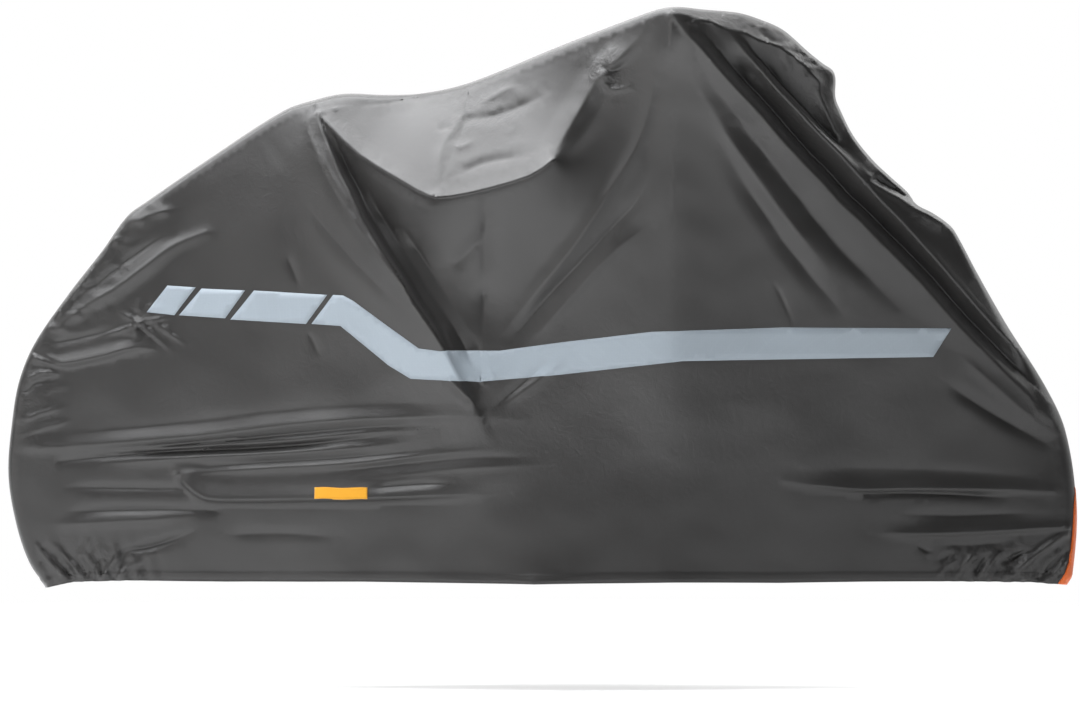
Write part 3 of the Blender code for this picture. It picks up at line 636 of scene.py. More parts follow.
def crease_lines(step):
    """The creases and the troughs beside them, with half-widths."""
    lines = {name: polyline(to_metres(rows), step) for name, rows in CREASES.items()}
    found = list(lines.values())
    for name, start, end, offset, lower in TROUGHS:
        ridge = lines[name]
        t = np.arange(len(ridge)) / (len(ridge) - 1)
        kept = (t >= start) & (t <= end)
        deep = np.clip((t - start) / TROUGH_TAPER, 0, 1) * np.clip((end - t) / TROUGH_TAPER, 0, 1)
        floor = np.column_stack([beside(ridge, offset * MM), ridge[:, 2] - lower * MM * deep])
        found.append(floor[kept])
    return found


def side_layout(side):
    """One side laid flat: points, triangles, half-widths where fixed, which are fixed, and the rim."""
    s = sizes()
    step = s.near_spacing if side < 0 else s.far_spacing
    outline = spline(to_metres(OUTLINE), s.edge_spacing)
    hem = polyline(to_metres(HEM), s.edge_spacing)
    loop = np.vstack([outline[:, :2], hem[1:-1, :2]])
    rings = []
    for turn in SEAM_TURNS:
        depth = outline[:, 3] * (1 - math.cos(math.radians(turn)))
        ring = beside(outline, -1)
        ring = outline[:, :2] + (ring - outline[:, :2]) * depth[:, None]
        away, _ = nearest(ring, outline)
        keep = inside(ring, loop) & (away > 0.97 * depth) & (nearest(ring, hem)[0] > CLEAR_RING * MM)
        rings += list(ring[keep])

    points = list(loop)
    width = list(outline[:, 2]) + list(hem[1:-1, 2])
    fixed = [True] * len(loop)
    edges = [(i, (i + 1) % len(loop)) for i in range(len(loop))]
    placed = {}

    def clear(flat):
        """Which points lie inside and not too near the outline or the hem."""
        gap = CLEAR * MM
        return inside(flat, loop) & (nearest(flat, outline)[0] > gap) & (nearest(flat, hem)[0] > gap)

    def lay(line, held):
        """Adds a line's points, and its edges as edges of the mesh."""
        previous = None
        for row, kept in zip(line, clear(line[:, :2])):
            if not kept:
                previous = None
                continue
            key = tuple(np.round(row[:2], 4))
            if key not in placed:
                placed[key] = len(points)
                points.append(row[:2])
                width.append(row[2] if held else 0.0)
                fixed.append(held)
            if previous is not None and previous != placed[key]:
                edges.append((previous, placed[key]))
            previous = placed[key]

    creases = crease_lines(LINE_SHARE * step)
    films = [polyline(to_metres(rows + rows[:1]), LINE_SHARE * step) for rows in FILM.values()]
    folds = [fold_line(row, LINE_SHARE * step) + np.array(SHIFTS[side]) * MM for row in FOLDS]
    tape = polyline(to_metres(TAPE_EDGE), s.edge_spacing)
    for line in creases:
        lay(line, True)
    for line in films + [tape] + folds:
        lay(line, False)
    upright = np.array([0, 1]) * MM
    for rise in HEM_ROWS:
        lay(hem[:, :2] + upright * rise, False)

    extra = rings
    rows = np.vstack([beside(line, offset * MM) for line in creases + folds for offset in BESIDE[side]])
    extra = extra + thinned(rows[clear(rows)], points + extra, LEAST_BESIDE * MM)
    for station, height, wide, tall, spacing in FINE if side < 0 else ():
        middle = np.array([station, height]) * MM
        reach = np.array([wide, tall]) * MM
        zone = hexagons(middle - reach, middle + reach, spacing * MM)
        zone = zone[(((zone - middle) / reach) ** 2).sum(axis=1) < 1]
        extra = extra + thinned(zone[clear(zone)], points + extra, LEAST_SHARE * spacing * MM)
    grid = hexagons((0, 4 * MM), (s.length, s.height), step)
    extra = extra + thinned(grid[clear(grid)], points + extra, LEAST_SHARE * step)
    points += extra
    width += [0.0] * len(extra)
    fixed += [False] * len(extra)

    found, _, faces, origins, _, _ = delaunay_2d_cdt([Vector(p) for p in points], edges, [], 0, 1e-6)
    first = [min(origin) if origin else -1 for origin in origins]
    flat = np.array([tuple(p) for p in found])
    width = np.array([width[i] if i >= 0 else 0.0 for i in first])
    fixed = np.array([fixed[i] if i >= 0 else False for i in first])
    rim = np.array([i if 0 <= i < len(loop) else -1 for i in first])
    faces = np.array([f for f in faces if len(f) == 3])
    faces = faces[inside(flat[faces].mean(axis=1), loop)]
    used = np.unique(faces)
    index = np.full(len(flat), -1)
    index[used] = np.arange(len(used))
    faces = index[faces]
    flat, width, fixed, rim = flat[used], width[used], fixed[used], rim[used]
    corners = flat[faces]
    a, b = corners[:, 1] - corners[:, 0], corners[:, 2] - corners[:, 0]
    turned = a[:, 0] * b[:, 1] - a[:, 1] * b[:, 0] < 0
    faces[turned] = faces[turned][:, ::-1]
    return flat, faces, width, fixed, rim, outline, hem


def membrane(flat, faces, width, fixed):
    """The half-width of cloth pulled taut between the fixed points."""
    ends, weight = [], []
    for i, j, k in ((0, 1, 2), (1, 2, 0), (2, 0, 1)):
        a, b = flat[faces[:, i]] - flat[faces[:, k]], flat[faces[:, j]] - flat[faces[:, k]]
        cross = np.abs(a[:, 0] * b[:, 1] - a[:, 1] * b[:, 0])
        ends.append(faces[:, [i, j]])
        weight.append(np.clip((a * b).sum(axis=1) / np.maximum(cross, 1e-12), 0.05, 20))
    ends, weight = np.vstack(ends), np.concatenate(weight)

    def pull(values):
        step = weight * (values[ends[:, 0]] - values[ends[:, 1]])
        return np.bincount(ends[:, 0], step, len(flat)) - np.bincount(ends[:, 1], step, len(flat))

    free = ~fixed
    total = np.bincount(ends[:, 0], weight, len(flat)) + np.bincount(ends[:, 1], weight, len(flat))
    first_guess, settled, most_rounds = 0.1, 1e-14, 2500
    values = np.where(fixed, width, first_guess)
    residual = -pull(values) * free
    scaled = residual / total
    run, size = scaled.copy(), residual @ scaled
    for _ in range(most_rounds):
        if size < settled:
            break
        along = pull(run) * free
        far = size / (run @ along)
        values += far * run
        residual -= far * along
        scaled = residual / total
        size, before = residual @ scaled, size
        run = scaled + size / before * run
    return values, ends


def relaxed(values, ends, fixed, rounds):
    """The values eased toward their neighbours' mean, but for the fixed ones."""
    count = np.bincount(ends.ravel(), minlength=len(values))
    for _ in range(rounds):
        total = np.bincount(ends[:, 0], values[ends[:, 1]], len(values))
        total += np.bincount(ends[:, 1], values[ends[:, 0]], len(values))
        values = np.where(fixed, values, 0.5 * values + 0.5 * total / count)
    return values


def fold_line(row, step):
    """The smooth line of a row of FOLDS."""
    return spline(to_metres(row[5:]), step)


def eased(t):
    """From 0 to 1 with level ends."""
    return t * t * (3 - 2 * t)


def fold_rise(flat, line, rise, left, right, start=0.0, end=0.0):
    """A fold along a line, with its own reach on each side and its own strength at each end."""
    margin = max(left, right) * MM
    low, high = line.min(axis=0) - margin, line.max(axis=0) + margin
    close = np.flatnonzero(((flat > low) & (flat < high)).all(axis=1))
    rises = np.zeros(len(flat))
    if not len(close):
        return rises
    near = flat[close]
    away, where = nearest(near, line)
    run = at(np.gradient(line, axis=0), where)
    foot = at(line, where)
    side = run[:, 0] * (near - foot)[:, 1] - run[:, 1] * (near - foot)[:, 0]
    reach = np.where(side > 0, left, right) * MM
    soft = 0.12 * reach + 0.6 * MM
    t = np.clip(where / (len(line) - 1), 0, 1)
    grow = np.clip(t / FOLD_GROW, 0, 1)
    fade = np.clip((1 - t) / FOLD_FADE, 0, 1)
    along = (start + (1 - start) * eased(grow)) * (end + (1 - end) * eased(fade))
    profile = np.clip(1 - (np.sqrt(away**2 + soft**2) - soft) / reach, 0, 1) ** FOLD_POWER
    rises[close] = rise * MM * along * profile
    return rises


def waves(flat, seed):
    """Long shallow unevenness of slack cloth."""
    x, z = flat.T
    total = np.zeros(len(flat))
    for i, (length, size) in enumerate(WAVES):
        turn = seed + 2.4 * i
        total += size * MM * np.sin(
            2 * np.pi * (x * math.cos(turn) + z * math.sin(turn)) / length
            + 5 * math.sin(3 * turn)
            + 1.3 * np.sin(2 * np.pi * (z * math.cos(turn) - x * math.sin(turn)) / (1.7 * length))
        )
    return total


def gathers(flat, above_hem, seed):
    """The pleats that the elastic draws in at both ends of the hem."""
    station, height = flat[:, 0] / MM, above_hem / MM
    total = np.zeros(len(flat))
    pitch, rise, fades = PLEAT
    fine_pitch, fine_rise, fine_fades = FINE_PLEAT
    for start, end, inward in GATHERED:
        t = np.clip((station - start) / (end - start), 0, 1)
        strength = np.sin(np.pi * t) ** 0.7
        lean = 0.25 * inward * height
        pleat = np.sin(2 * np.pi * (station + lean) / pitch + seed + 1.1 * np.sin(station / 37))
        total += rise * MM * strength * pleat * np.exp(-np.clip(height, 0, None) / fades)
        fine = np.sin(2 * np.pi * (station + 2 * lean) / fine_pitch + 2.1 * np.sin(station / 23 + seed))
        total += fine_rise * MM * strength * fine * np.exp(-((height - 8) / fine_fades) ** 2)
    return total


def crinkles(flat, seed):
    """Small creases scattered over the crushed and pulled places, and how crushed each point is."""
    chance = np.random.default_rng(round(seed * 100))
    total = np.zeros(len(flat))
    crushed = np.zeros(len(flat))
    for station, height, wide, tall, count, lie, turn, length, rise, reach in CRINKLES:
        for _ in range(count):
            middle = np.array([station, height]) + chance.uniform(-1, 1, 2) * (wide, tall)
            angle = math.radians(lie + chance.uniform(-1, 1) * turn)
            size = chance.uniform(0.6, 1.3)
            half = 0.5 * length * size * np.array([math.cos(angle), math.sin(angle)])
            bend = np.array([-half[1], half[0]]) * chance.uniform(-0.3, 0.3)
            lift = rise * chance.uniform(0.5, 1.2) * (1 if chance.random() < 0.6 else -1)
            edge = reach * chance.uniform(0.5, 0.9)
            line = to_metres([
                middle - half, middle - half / 2 + bend * 0.75, middle + bend,
                middle + half / 2 + bend * 0.75, middle + half,
            ])
            total += fold_rise(flat, line, lift, 1.6 * reach, 1.6 * edge)
        away = np.hypot((flat[:, 0] / MM - station) / wide, (flat[:, 1] / MM - height) / tall)
        crushed = np.maximum(crushed, min(1.0, rise / 2) * np.exp(-(away**2)))
    return total, crushed


def half_widths(flat, taut, outline, above_hem, side):
    """How far out one side's cloth stands at each point, how far it is from the seam, and how crushed."""
    seed = SEEDS[side]
    moved = flat - np.array(SHIFTS[side]) * MM
    width = taut.copy()
    for row in FOLDS:
        width += SHARES[side] * fold_rise(moved, fold_line(row, FOLD_STEP * MM), *row[:5])
    for name, *row in CRESTS:
        width += fold_rise(flat, polyline(to_metres(CREASES[name]), FOLD_STEP * MM)[:, :2], *row)
    tail = outline[(outline[:, 1] > 0.25) & (outline[:, 0] < 0.25)]
    for i in range(PUCKERS):
        foot = at(tail, np.array([(i + 0.5) / PUCKERS * (len(tail) - 1)]))[0, :2] / MM
        length = PUCKER_LENGTH * (0.75 + 0.5 * ((i * 7) % 5) / 4)
        ahead = foot + np.array([length, -0.2 * length + 9 * math.sin(i + seed)])
        mid = (foot + ahead) / 2 + np.array([0, 5 * math.cos(2 * i + seed)])
        line = spline(to_metres([foot, mid, ahead]), FOLD_STEP * MM)
        width += fold_rise(flat, line, PUCKER_RISE, 1.5 * PUCKER_REACH, PUCKER_REACH)
    away, where = nearest(flat, outline)
    depth = at(outline, where)[:, 3]
    calm = np.clip(away / WAVES_CALM, 0, 1)
    small, crushed = crinkles(flat, seed)
    width += waves(flat, seed) * calm + gathers(flat, above_hem, seed) + small
    round_edge = np.sqrt(1 - (1 - np.clip(away / depth, 0, 1)) ** 2)
    return np.maximum(width, LEAST_WIDTH) * round_edge, away, crushed


def in_frame(flat, y):
    """Stations, heights and sideways places as points of the finished cover."""
    return np.stack([flat[:, 0] - sizes().rest_station, y, flat[:, 1] - sizes().height + TOP_LIFT], axis=1)


SHEET = {}


def cover_sheet():
    """The whole cover's middle surface, worked out once: both sides, joined along the outline."""
    if SHEET:
        return SHEET
    parts = {}
    for side in (-1, 1):
        flat, faces, width, fixed, rim, outline, hem = side_layout(side)
        taut, ends = membrane(flat, faces, width, fixed)
        taut = relaxed(taut, ends, fixed, 1)
        above_hem = flat[:, 1] - np.interp(flat[:, 0], hem[::-1, 0], hem[::-1, 1])
        out, away, crushed = half_widths(flat, taut, outline, above_hem, side)
        out[(rim >= 0) & (rim < len(outline))] = 0.0
        parts[side] = flat, faces, out * side, rim, away, crushed, above_hem, len(outline)
    flat, faces, y, rim, away, crushed, above_hem, count = parts[-1]
    points = in_frame(flat, y)
    home = np.full(count, -1)
    on_rim = (rim >= 0) & (rim < count)
    home[rim[on_rim]] = np.flatnonzero(on_rim)
    flat_2, faces_2, y_2, rim_2, away_2, crushed_2, above_hem_2, _ = parts[1]
    shared = (rim_2 >= 0) & (rim_2 < count)
    index = np.empty(len(flat_2), int)
    index[shared] = home[rim_2[shared]]
    index[~shared] = len(flat) + np.arange((~shared).sum())
    SHEET.update(
        points=np.vstack([points, in_frame(flat_2, y_2)[~shared]]),
        faces=np.vstack([faces, index[faces_2][:, ::-1]]),
        flat=np.vstack([flat, flat_2[~shared]]),
        side=np.concatenate([np.full(len(faces), -1), np.full(len(faces_2), 1)]),
        away=np.concatenate([away, away_2[~shared]]),
        crushed=np.concatenate([crushed, crushed_2[~shared]]),
        above_hem=np.concatenate([above_hem, above_hem_2[~shared]]),
        outline=outline,
    )
    SHEET["direction"] = outward(SHEET["points"], SHEET["faces"])
    corners = SHEET["points"][SHEET["faces"]]
    normal = np.cross(corners[:, 1] - corners[:, 0], corners[:, 2] - corners[:, 0])
    SHEET["area"] = 0.5 * np.linalg.norm(normal, axis=1).sum()
    return SHEET


def outward(points, faces):
    """A unit direction out of the cloth at each point."""
    corners = points[faces]
    normal = np.cross(corners[:, 1] - corners[:, 0], corners[:, 2] - corners[:, 0])
    unit = normal / np.maximum(np.linalg.norm(normal, axis=1), 1e-12)[:, None]
    total = np.zeros_like(points)
    for i in range(3):
        a = corners[:, (i + 1) % 3] - corners[:, i]
        b = corners[:, (i + 2) % 3] - corners[:, i]
        cosine = (a * b).sum(1) / np.maximum(np.linalg.norm(a, axis=1) * np.linalg.norm(b, axis=1), 1e-12)
        np.add.at(total, faces[:, i], unit * np.arccos(np.clip(cosine, -1, 1))[:, None])
    return total / np.linalg.norm(total, axis=1)[:, None]


def shell(points, faces, direction, low, high):
    """A closed solid between two offsets of a sheet."""
    low, high = (np.broadcast_to(v, len(points))[:, None] for v in (low, high))
    count = len(points)
    ends = np.vstack([faces[:, [0, 1]], faces[:, [1, 2]], faces[:, [2, 0]]])
    code, reverse = ends[:, 0] * count + ends[:, 1], ends[:, 1] * count + ends[:, 0]
    border = ends[~np.isin(code, reverse)]
    walls = np.vstack([
        np.stack([border[:, 1], border[:, 0], border[:, 0] + count], axis=1),
        np.stack([border[:, 1], border[:, 0] + count, border[:, 1] + count], axis=1),
    ])
    return np.vstack([points + direction * high, points + direction * low]), np.vstack(
        [faces, faces[:, ::-1] + count, walls]
    )


def new_piece(name, points, faces, finish):
    """A smooth mesh object with one finish."""
    mesh = bpy.data.meshes.new(name)
    mesh.from_pydata(np.asarray(points).tolist(), [], np.asarray(faces).tolist())
    mesh.polygons.foreach_set("use_smooth", np.full(len(mesh.polygons), True))
    mesh.materials.append(finish)
    mesh.update()
    piece = bpy.data.objects.new(name, mesh)
    bpy.context.collection.objects.link(piece)
    return piece


def attach(piece, slot, *nodes):
    """The piece moves with the cover and stands for the solids named; slot is not used."""
    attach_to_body(piece, "root")
    if nodes:
        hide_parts(*nodes)
    return piece


# ---- Finishes ----


class Number:
    """A socket that takes part in arithmetic."""

    def __init__(self, finish, socket):
        self.finish, self.socket = finish, socket

    def _join(self, operation, first, second):
        return self.finish.node("ShaderNodeMath", {"operation": operation}, {0: first, 1: second})["Value"]

    def __add__(self, other):
        return self._join("ADD", self, other)

    __radd__ = __add__

    def __sub__(self, other):
        return self._join("SUBTRACT", self, other)

    def __rsub__(self, other):
        return self._join("SUBTRACT", other, self)

    def __mul__(self, other):
        return self._join("MULTIPLY", self, other)

    __rmul__ = __mul__

    def __abs__(self):
        return self._join("ABSOLUTE", self, 0.0)


class Outputs:
    """The output sockets of one node, by name or number."""

    def __init__(self, finish, node):
        self.finish, self.node = finish, node

    def __getitem__(self, name):
        return Number(self.finish, self.node.outputs[name])


class Finish:
    """The nodes of one material or world, built one by one."""

    def __init__(self, owner):
        self.owner = owner
        owner.use_nodes = True
        self.tree = owner.node_tree
        self.tree.nodes.clear()
        self.coordinates = self.node("ShaderNodeTexCoord")
        self.place = self.coordinates["Object"]

    def node(self, kind, settings=None, inputs=None):
        """A new node of this kind, with its settings, then its sockets' values or links."""
        made = self.tree.nodes.new(kind)
        for name, value in (settings or {}).items():
            if name == "stops":
                ramp = made.color_ramp
                for i, (position, colour) in enumerate(value):
                    stop = ramp.elements[i] if i < 2 else ramp.elements.new(position)
                    stop.position, stop.color = position, colour
            else:
                setattr(made, name, value)
        for name, value in (inputs or {}).items():
            if isinstance(value, Number):
                self.tree.links.new(value.socket, made.inputs[name])
            else:
                made.inputs[name].default_value = value
        return Outputs(self, made)

    def noise(self, scale, detail, roughness, distortion=0.0):
        return self.node("ShaderNodeTexNoise", None, {
            "Vector": self.place, "Scale": scale, "Detail": detail, "Roughness": roughness,
            "Distortion": distortion,
        })["Fac"]

    def stretched(self, scale, turn):
        inputs = {"Vector": self.place, "Scale": scale, "Rotation": turn}
        return self.node("ShaderNodeMapping", None, inputs)["Vector"]

    def ramp(self, value, stops):
        return self.node("ShaderNodeValToRGB", {"stops": stops}, {"Fac": value})["Color"]

    def between(self, factor, first, second):
        """A colour part of the way from the first to the second."""
        first, second = ((*c, 1) if isinstance(c, tuple) else c for c in (first, second))
        made = self.node("ShaderNodeMix", {"data_type": "RGBA"}, {0: factor, 6: first, 7: second})
        return made[2]

    def bump(self, height, distance, strength=1.0, onto=None):
        inputs = {"Height": height, "Distance": distance, "Strength": strength}
        if onto is not None:
            inputs["Normal"] = onto
        return self.node("ShaderNodeBump", None, inputs)["Normal"]

    def surface(self, inputs):
        shader = self.node("ShaderNodeBsdfPrincipled", None, inputs)
        self.node("ShaderNodeOutputMaterial", None, {"Surface": shader["BSDF"]})
        return self.owner


def new_finish(name):
    """An empty material to build."""
    return Finish(bpy.data.materials.new(name))


def shade(colour, by):
    """The colour, lighter or darker."""
    return tuple(min(1.0, c * by) for c in colour)


def coated_nylon():
    """Dark nylon with a soft, slightly waxy coating, finely crushed where it was folded."""
    f = new_finish("charcoal_nylon")
    base = tuple(colours().nylon)
    crushed = f.node("ShaderNodeAttribute", {"attribute_name": "crushed"})["Fac"]
    broad = f.noise(5.0, 3.0, 0.55)
    mottle = f.noise(42.0, 4.0, 0.6)
    ridges = abs(f.noise(34.0, 3.0, 0.55, 0.8) - 0.5)
    sharp = abs(f.noise(92.0, 2.0, 0.5, 1.2) - 0.5)
    grain = f.noise(900.0, 1.0, 0.5)
    weave = f.node("ShaderNodeTexBrick", {"offset": 0.5, "squash": 1.0}, {
        "Vector": f.stretched((900, 900, 900), (math.radians(90), 0, 0)), "Scale": 1.0, "Mortar Size": 0.12,
        "Brick Width": 1.0, "Row Height": 0.5,
    })["Fac"]
    faded = f.ramp(broad, ((0.3, BLACK), (0.7, WHITE)))
    colour = f.between(faded, shade(base, 0.90), shade(base, 1.12))
    colour = f.between(mottle * 0.35, colour, shade(base, 0.80))
    height = (0.5 - ridges) * (0.05 + crushed * 0.9) + (0.5 - sharp) * (0.02 + crushed * 0.4)
    normal = f.bump(height, 0.0032)
    normal = f.bump(weave * 0.6 + grain * 0.4, 0.00008, 0.5, normal)
    return f.surface({
        "Base Color": colour,
        "Roughness": 0.37 + broad * 0.05 + mottle * 0.05,
        "Specular IOR Level": 0.5,
        "Sheen Weight": 0.06,
        "Sheen Roughness": 0.5,
        "Normal": normal,
    })


def reflective_film():
    """Pale printed film of fine glass beads, with a faint honeycomb."""
    f = new_finish("reflective_film")
    base = tuple(colours().film)
    beads = f.node("ShaderNodeTexVoronoi", None, {"Vector": f.place, "Scale": 1600.0})["Distance"]
    cells = f.node("ShaderNodeTexVoronoi", {"feature": "DISTANCE_TO_EDGE"}, {
        "Vector": f.place, "Scale": 210.0, "Randomness": 0.15,
    })["Distance"]
    walls = f.ramp(cells, ((0.02, WHITE), (0.09, BLACK)))
    broad = f.noise(9.0, 3.0, 0.6)
    colour = f.between(broad, shade(base, 0.92), shade(base, 1.06))
    colour = f.between(walls * 0.10, colour, shade(base, 1.25))
    ridges = abs(f.noise(40.0, 3.0, 0.55, 0.8) - 0.5)
    return f.surface({
        "Base Color": colour,
        "Roughness": 0.50 + broad * 0.08,
        "Metallic": 0.10,
        "Specular IOR Level": 0.35,
        "Normal": f.bump(beads * 0.3 + walls * 0.2, 0.00008, 0.5, f.bump(0.5 - ridges, 0.0006)),
    })


def webbing(name, colour, across):
    """Ribbed woven tape. across is 0, 1 or 2: the axis that the ribs are spaced along."""
    f = new_finish(name)
    turn = ((0, 0, 0), (0, 0, math.radians(90)), (0, math.radians(90), 0))[across]
    ribs = f.node("ShaderNodeTexWave", {"wave_type": "BANDS", "bands_direction": "X"}, {
        "Vector": f.stretched((1, 1, 1), turn), "Scale": 260.0, "Distortion": 0.6, "Detail": 1.0,
    })["Fac"]
    yarns = f.noise(700.0, 2.0, 0.6)
    broad = f.noise(28.0, 3.0, 0.6)
    tint = f.between(ribs * 0.55 + yarns * 0.35, shade(colour, 0.72), shade(colour, 1.08))
    tint = f.between(broad * 0.3, tint, shade(colour, 0.85))
    return f.surface({
        "Base Color": tint,
        "Roughness": 0.68 + yarns * 0.12,
        "Specular IOR Level": 0.35,
        "Sheen Weight": 0.25,
        "Normal": f.bump(ribs * 0.7 + yarns * 0.3, 0.00035),
    })


def thread_finish(name, colour):
    """Twisted sewing thread."""
    f = new_finish(name)
    twist = f.noise(1500.0, 1.0, 0.5)
    return f.surface({
        "Base Color": f.between(twist, shade(colour, 0.8), shade(colour, 1.2)),
        "Roughness": 0.62 + twist * 0.1,
        "Normal": f.bump(twist, 0.0001),
    })


# ---- Pieces ----


class COVER_OT_cloth(bpy.types.Operator):
    """Build the draped cloth with its turned hem and joined seam"""

    bl_idname = "cover.cloth"
    bl_label = "Cover Cloth"

    def execute(self, context):
        sheet, s = cover_sheet(), sizes()
        height = sheet["above_hem"]
        hem = 0.5 * (1 + np.tanh((s.hem_depth - height) / HEM_EDGE))
        groove = sum(share * np.exp(-(((height - low) / GROOVE_REACH) ** 2)) for low, share in GROOVES)
        seam = np.exp(-((sheet["away"] / SEAM_REACH) ** 4)) * (height > SEAM_START)
        high = s.cloth / 2 + HEM_OUT * hem - GROOVE_DEPTH * groove + SEAM_RISE * seam
        low = -s.cloth / 2 - HEM_IN * hem
        solid = shell(sheet["points"], sheet["faces"], sheet["direction"], low, high)
        piece = new_piece("draped_cloth", *solid, coated_nylon())
        crushed = piece.data.attributes.new("crushed", "FLOAT", "POINT")
        crushed.data.foreach_set("value", np.tile(sheet["crushed"], 2).astype(np.float32))
        attach(piece, "charcoal_nylon", "cover_cloth")
        return {"FINISHED"}


def face_middles():
    """The middle of each of the cloth's triangles, as station and height."""
    sheet = cover_sheet()
    return sheet["flat"][sheet["faces"]].mean(axis=1)


def trim(name, chosen, thick, finish):
    """A thin sheet that lies on the chosen triangles of the cloth."""
    sheet = cover_sheet()
    used, faces = np.unique(sheet["faces"][chosen], return_inverse=True)
    base = sizes().cloth / 2 + TRIM_GAP
    solid = shell(sheet["points"][used], faces.reshape(-1, 3), sheet["direction"][used], base, base + thick)
    return new_piece(name, *solid, finish)


class COVER_OT_film(bpy.types.Operator):
    """Lay the four lengths of reflective film on each side"""

    bl_idname = "cover.film"
    bl_label = "Reflective Film"

    def execute(self, context):
        finish, middles = reflective_film(), face_middles()
        for name, rows in FILM.items():
            within = inside(middles, to_metres(rows))
            for side, word in ((-1, "right"), (1, "left")):
                chosen = within & (cover_sheet()["side"] == side)
                piece = trim(f"film_{name}_{word}", chosen, sizes().film, finish)
                attach(piece, "reflective_film", f"band_{name}_{word}")
        return {"FINISHED"}


def cloth_tree():
    """A search tree over the cloth's outer face."""
    sheet, s = cover_sheet(), sizes()
    if "tree" not in sheet:
        outer = sheet["points"] + sheet["direction"] * s.cloth / 2
        sheet["tree"] = BVHTree.FromPolygons(outer.tolist(), sheet["faces"].tolist())
    return sheet["tree"]


def on_cloth(station, height, side):
    """The place and direction of the cloth's outer face at a station and height."""
    x, _, z = in_frame(np.array([[station, height]]), np.zeros(1))[0]
    place, normal, _, _ = cloth_tree().ray_cast(Vector((x, side * 1.0, z)), Vector((0, -side, 0)))
    if place is None:
        raise RuntimeError(f"no cloth at station {station:.3f}, height {height:.3f}")
    return place, normal


class COVER_OT_side_tab(bpy.types.Operator):
    """Sew on the webbing tab"""

    bl_idname = "cover.side_tab"
    bl_label = "Side Tab"

    def execute(self, context):
        start, end, low, high = (v * MM for v in SIDE_TAB)
        long, tall = TAB_GRID
        outer, inner = [], []
        for v in np.arange(tall + 1) / tall:
            for u in np.arange(long + 1) / long:
                height = low + (high - low) * v + TAB_RIPPLE * math.sin(9 * u)
                place, normal = on_cloth(start + (end - start) * u, height, -1)
                edge = min(min(u, 1 - u) * (end - start), min(v, 1 - v) * (high - low))
                rounded = math.sqrt(max(0.0, 1 - (1 - min(edge / TAB_ROUND, 1)) ** 2))
                bow = TAB_BOW * math.sin(math.pi * u)
                out = Vector((normal[0] * 0.4, -1, normal[2] * 0.4)).normalized()
                outer.append(tuple(place + out * (TAB_LIFT + bow + TAB_THICK * (0.45 + 0.55 * rounded))))
                inner.append(tuple(place + out * (TAB_GAP + bow)))
        row = long + 1
        corners = [j * row + i for j in range(tall) for i in range(long)]
        faces = np.array([f for a in corners for f in ((a, a + 1, a + row + 1), (a, a + row + 1, a + row))])
        points = np.array(inner)
        finish = webbing("amber_webbing", tuple(colours().amber), 0)
        piece = new_piece("webbing_tab", *shell(points, faces, np.array(outer) - points, 0.0, 1.0), finish)
        attach(piece, "amber_webbing", "side_tab")
        return {"FINISHED"}


class COVER_OT_nose_tape(bpy.types.Operator):
    """Wrap the tape round the nose"""

    bl_idname = "cover.nose_tape"
    bl_label = "Nose Tape"

    def execute(self, context):
        edge = to_metres(TAPE_EDGE)
        beyond = 1.1 * sizes().length
        loop = np.vstack([edge, [[beyond, edge[-1, 1]], [beyond, edge[0, 1]]]])
        finish = webbing("orange_tape", tuple(colours().orange), 2)
        piece = trim("webbing_tape", inside(face_middles(), loop), TAPE_THICK, finish)
        attach(piece, "orange_tape", "nose_tape")
        return {"FINISHED"}


def stitch_nodes():
    """The tree that turns a run of edges into a row of stitches."""
    tree = bpy.data.node_groups.new("stitch_row", "GeometryNodeTree")
    sockets = {}
    for name, kind in (
        ("Geometry", "NodeSocketGeometry"), ("Pitch", "NodeSocketFloat"), ("Stitch", "NodeSocketVector"),
        ("Thread", "NodeSocketMaterial"),
    ):
        sockets[name] = tree.interface.new_socket(name, in_out="INPUT", socket_type=kind).identifier
    tree.interface.new_socket("Geometry", in_out="OUTPUT", socket_type="NodeSocketGeometry")
    new = tree.nodes.new
    start, end = new("NodeGroupInput"), new("NodeGroupOutput")
    curve, spaced = new("GeometryNodeMeshToCurve"), new("GeometryNodeResampleCurve")
    spaced.mode = "LENGTH"
    ball = new("GeometryNodeMeshUVSphere")
    ball.inputs["Segments"].default_value, ball.inputs["Rings"].default_value = 6, 4
    ball.inputs["Radius"].default_value = 0.5
    tangent, turn = new("GeometryNodeInputTangent"), new("FunctionNodeAlignRotationToVector")
    turn.axis = "X"
    copies, real = new("GeometryNodeInstanceOnPoints"), new("GeometryNodeRealizeInstances")
    dress = new("GeometryNodeSetMaterial")
    for source, output, target, entry in (
        (start, "Geometry", curve, "Mesh"), (curve, "Curve", spaced, "Curve"),
        (start, "Pitch", spaced, "Length"), (spaced, "Curve", copies, "Points"),
        (ball, "Mesh", copies, "Instance"),
        (tangent, "Tangent", turn, "Vector"), (turn, "Rotation", copies, "Rotation"),
        (start, "Stitch", copies, "Scale"), (copies, "Instances", real, "Geometry"),
        (real, "Geometry", dress, "Geometry"), (start, "Thread", dress, "Material"),
        (dress, "Geometry", end, "Geometry"),
    ):
        tree.links.new(source.outputs[output], target.inputs[entry])
    return tree, sockets


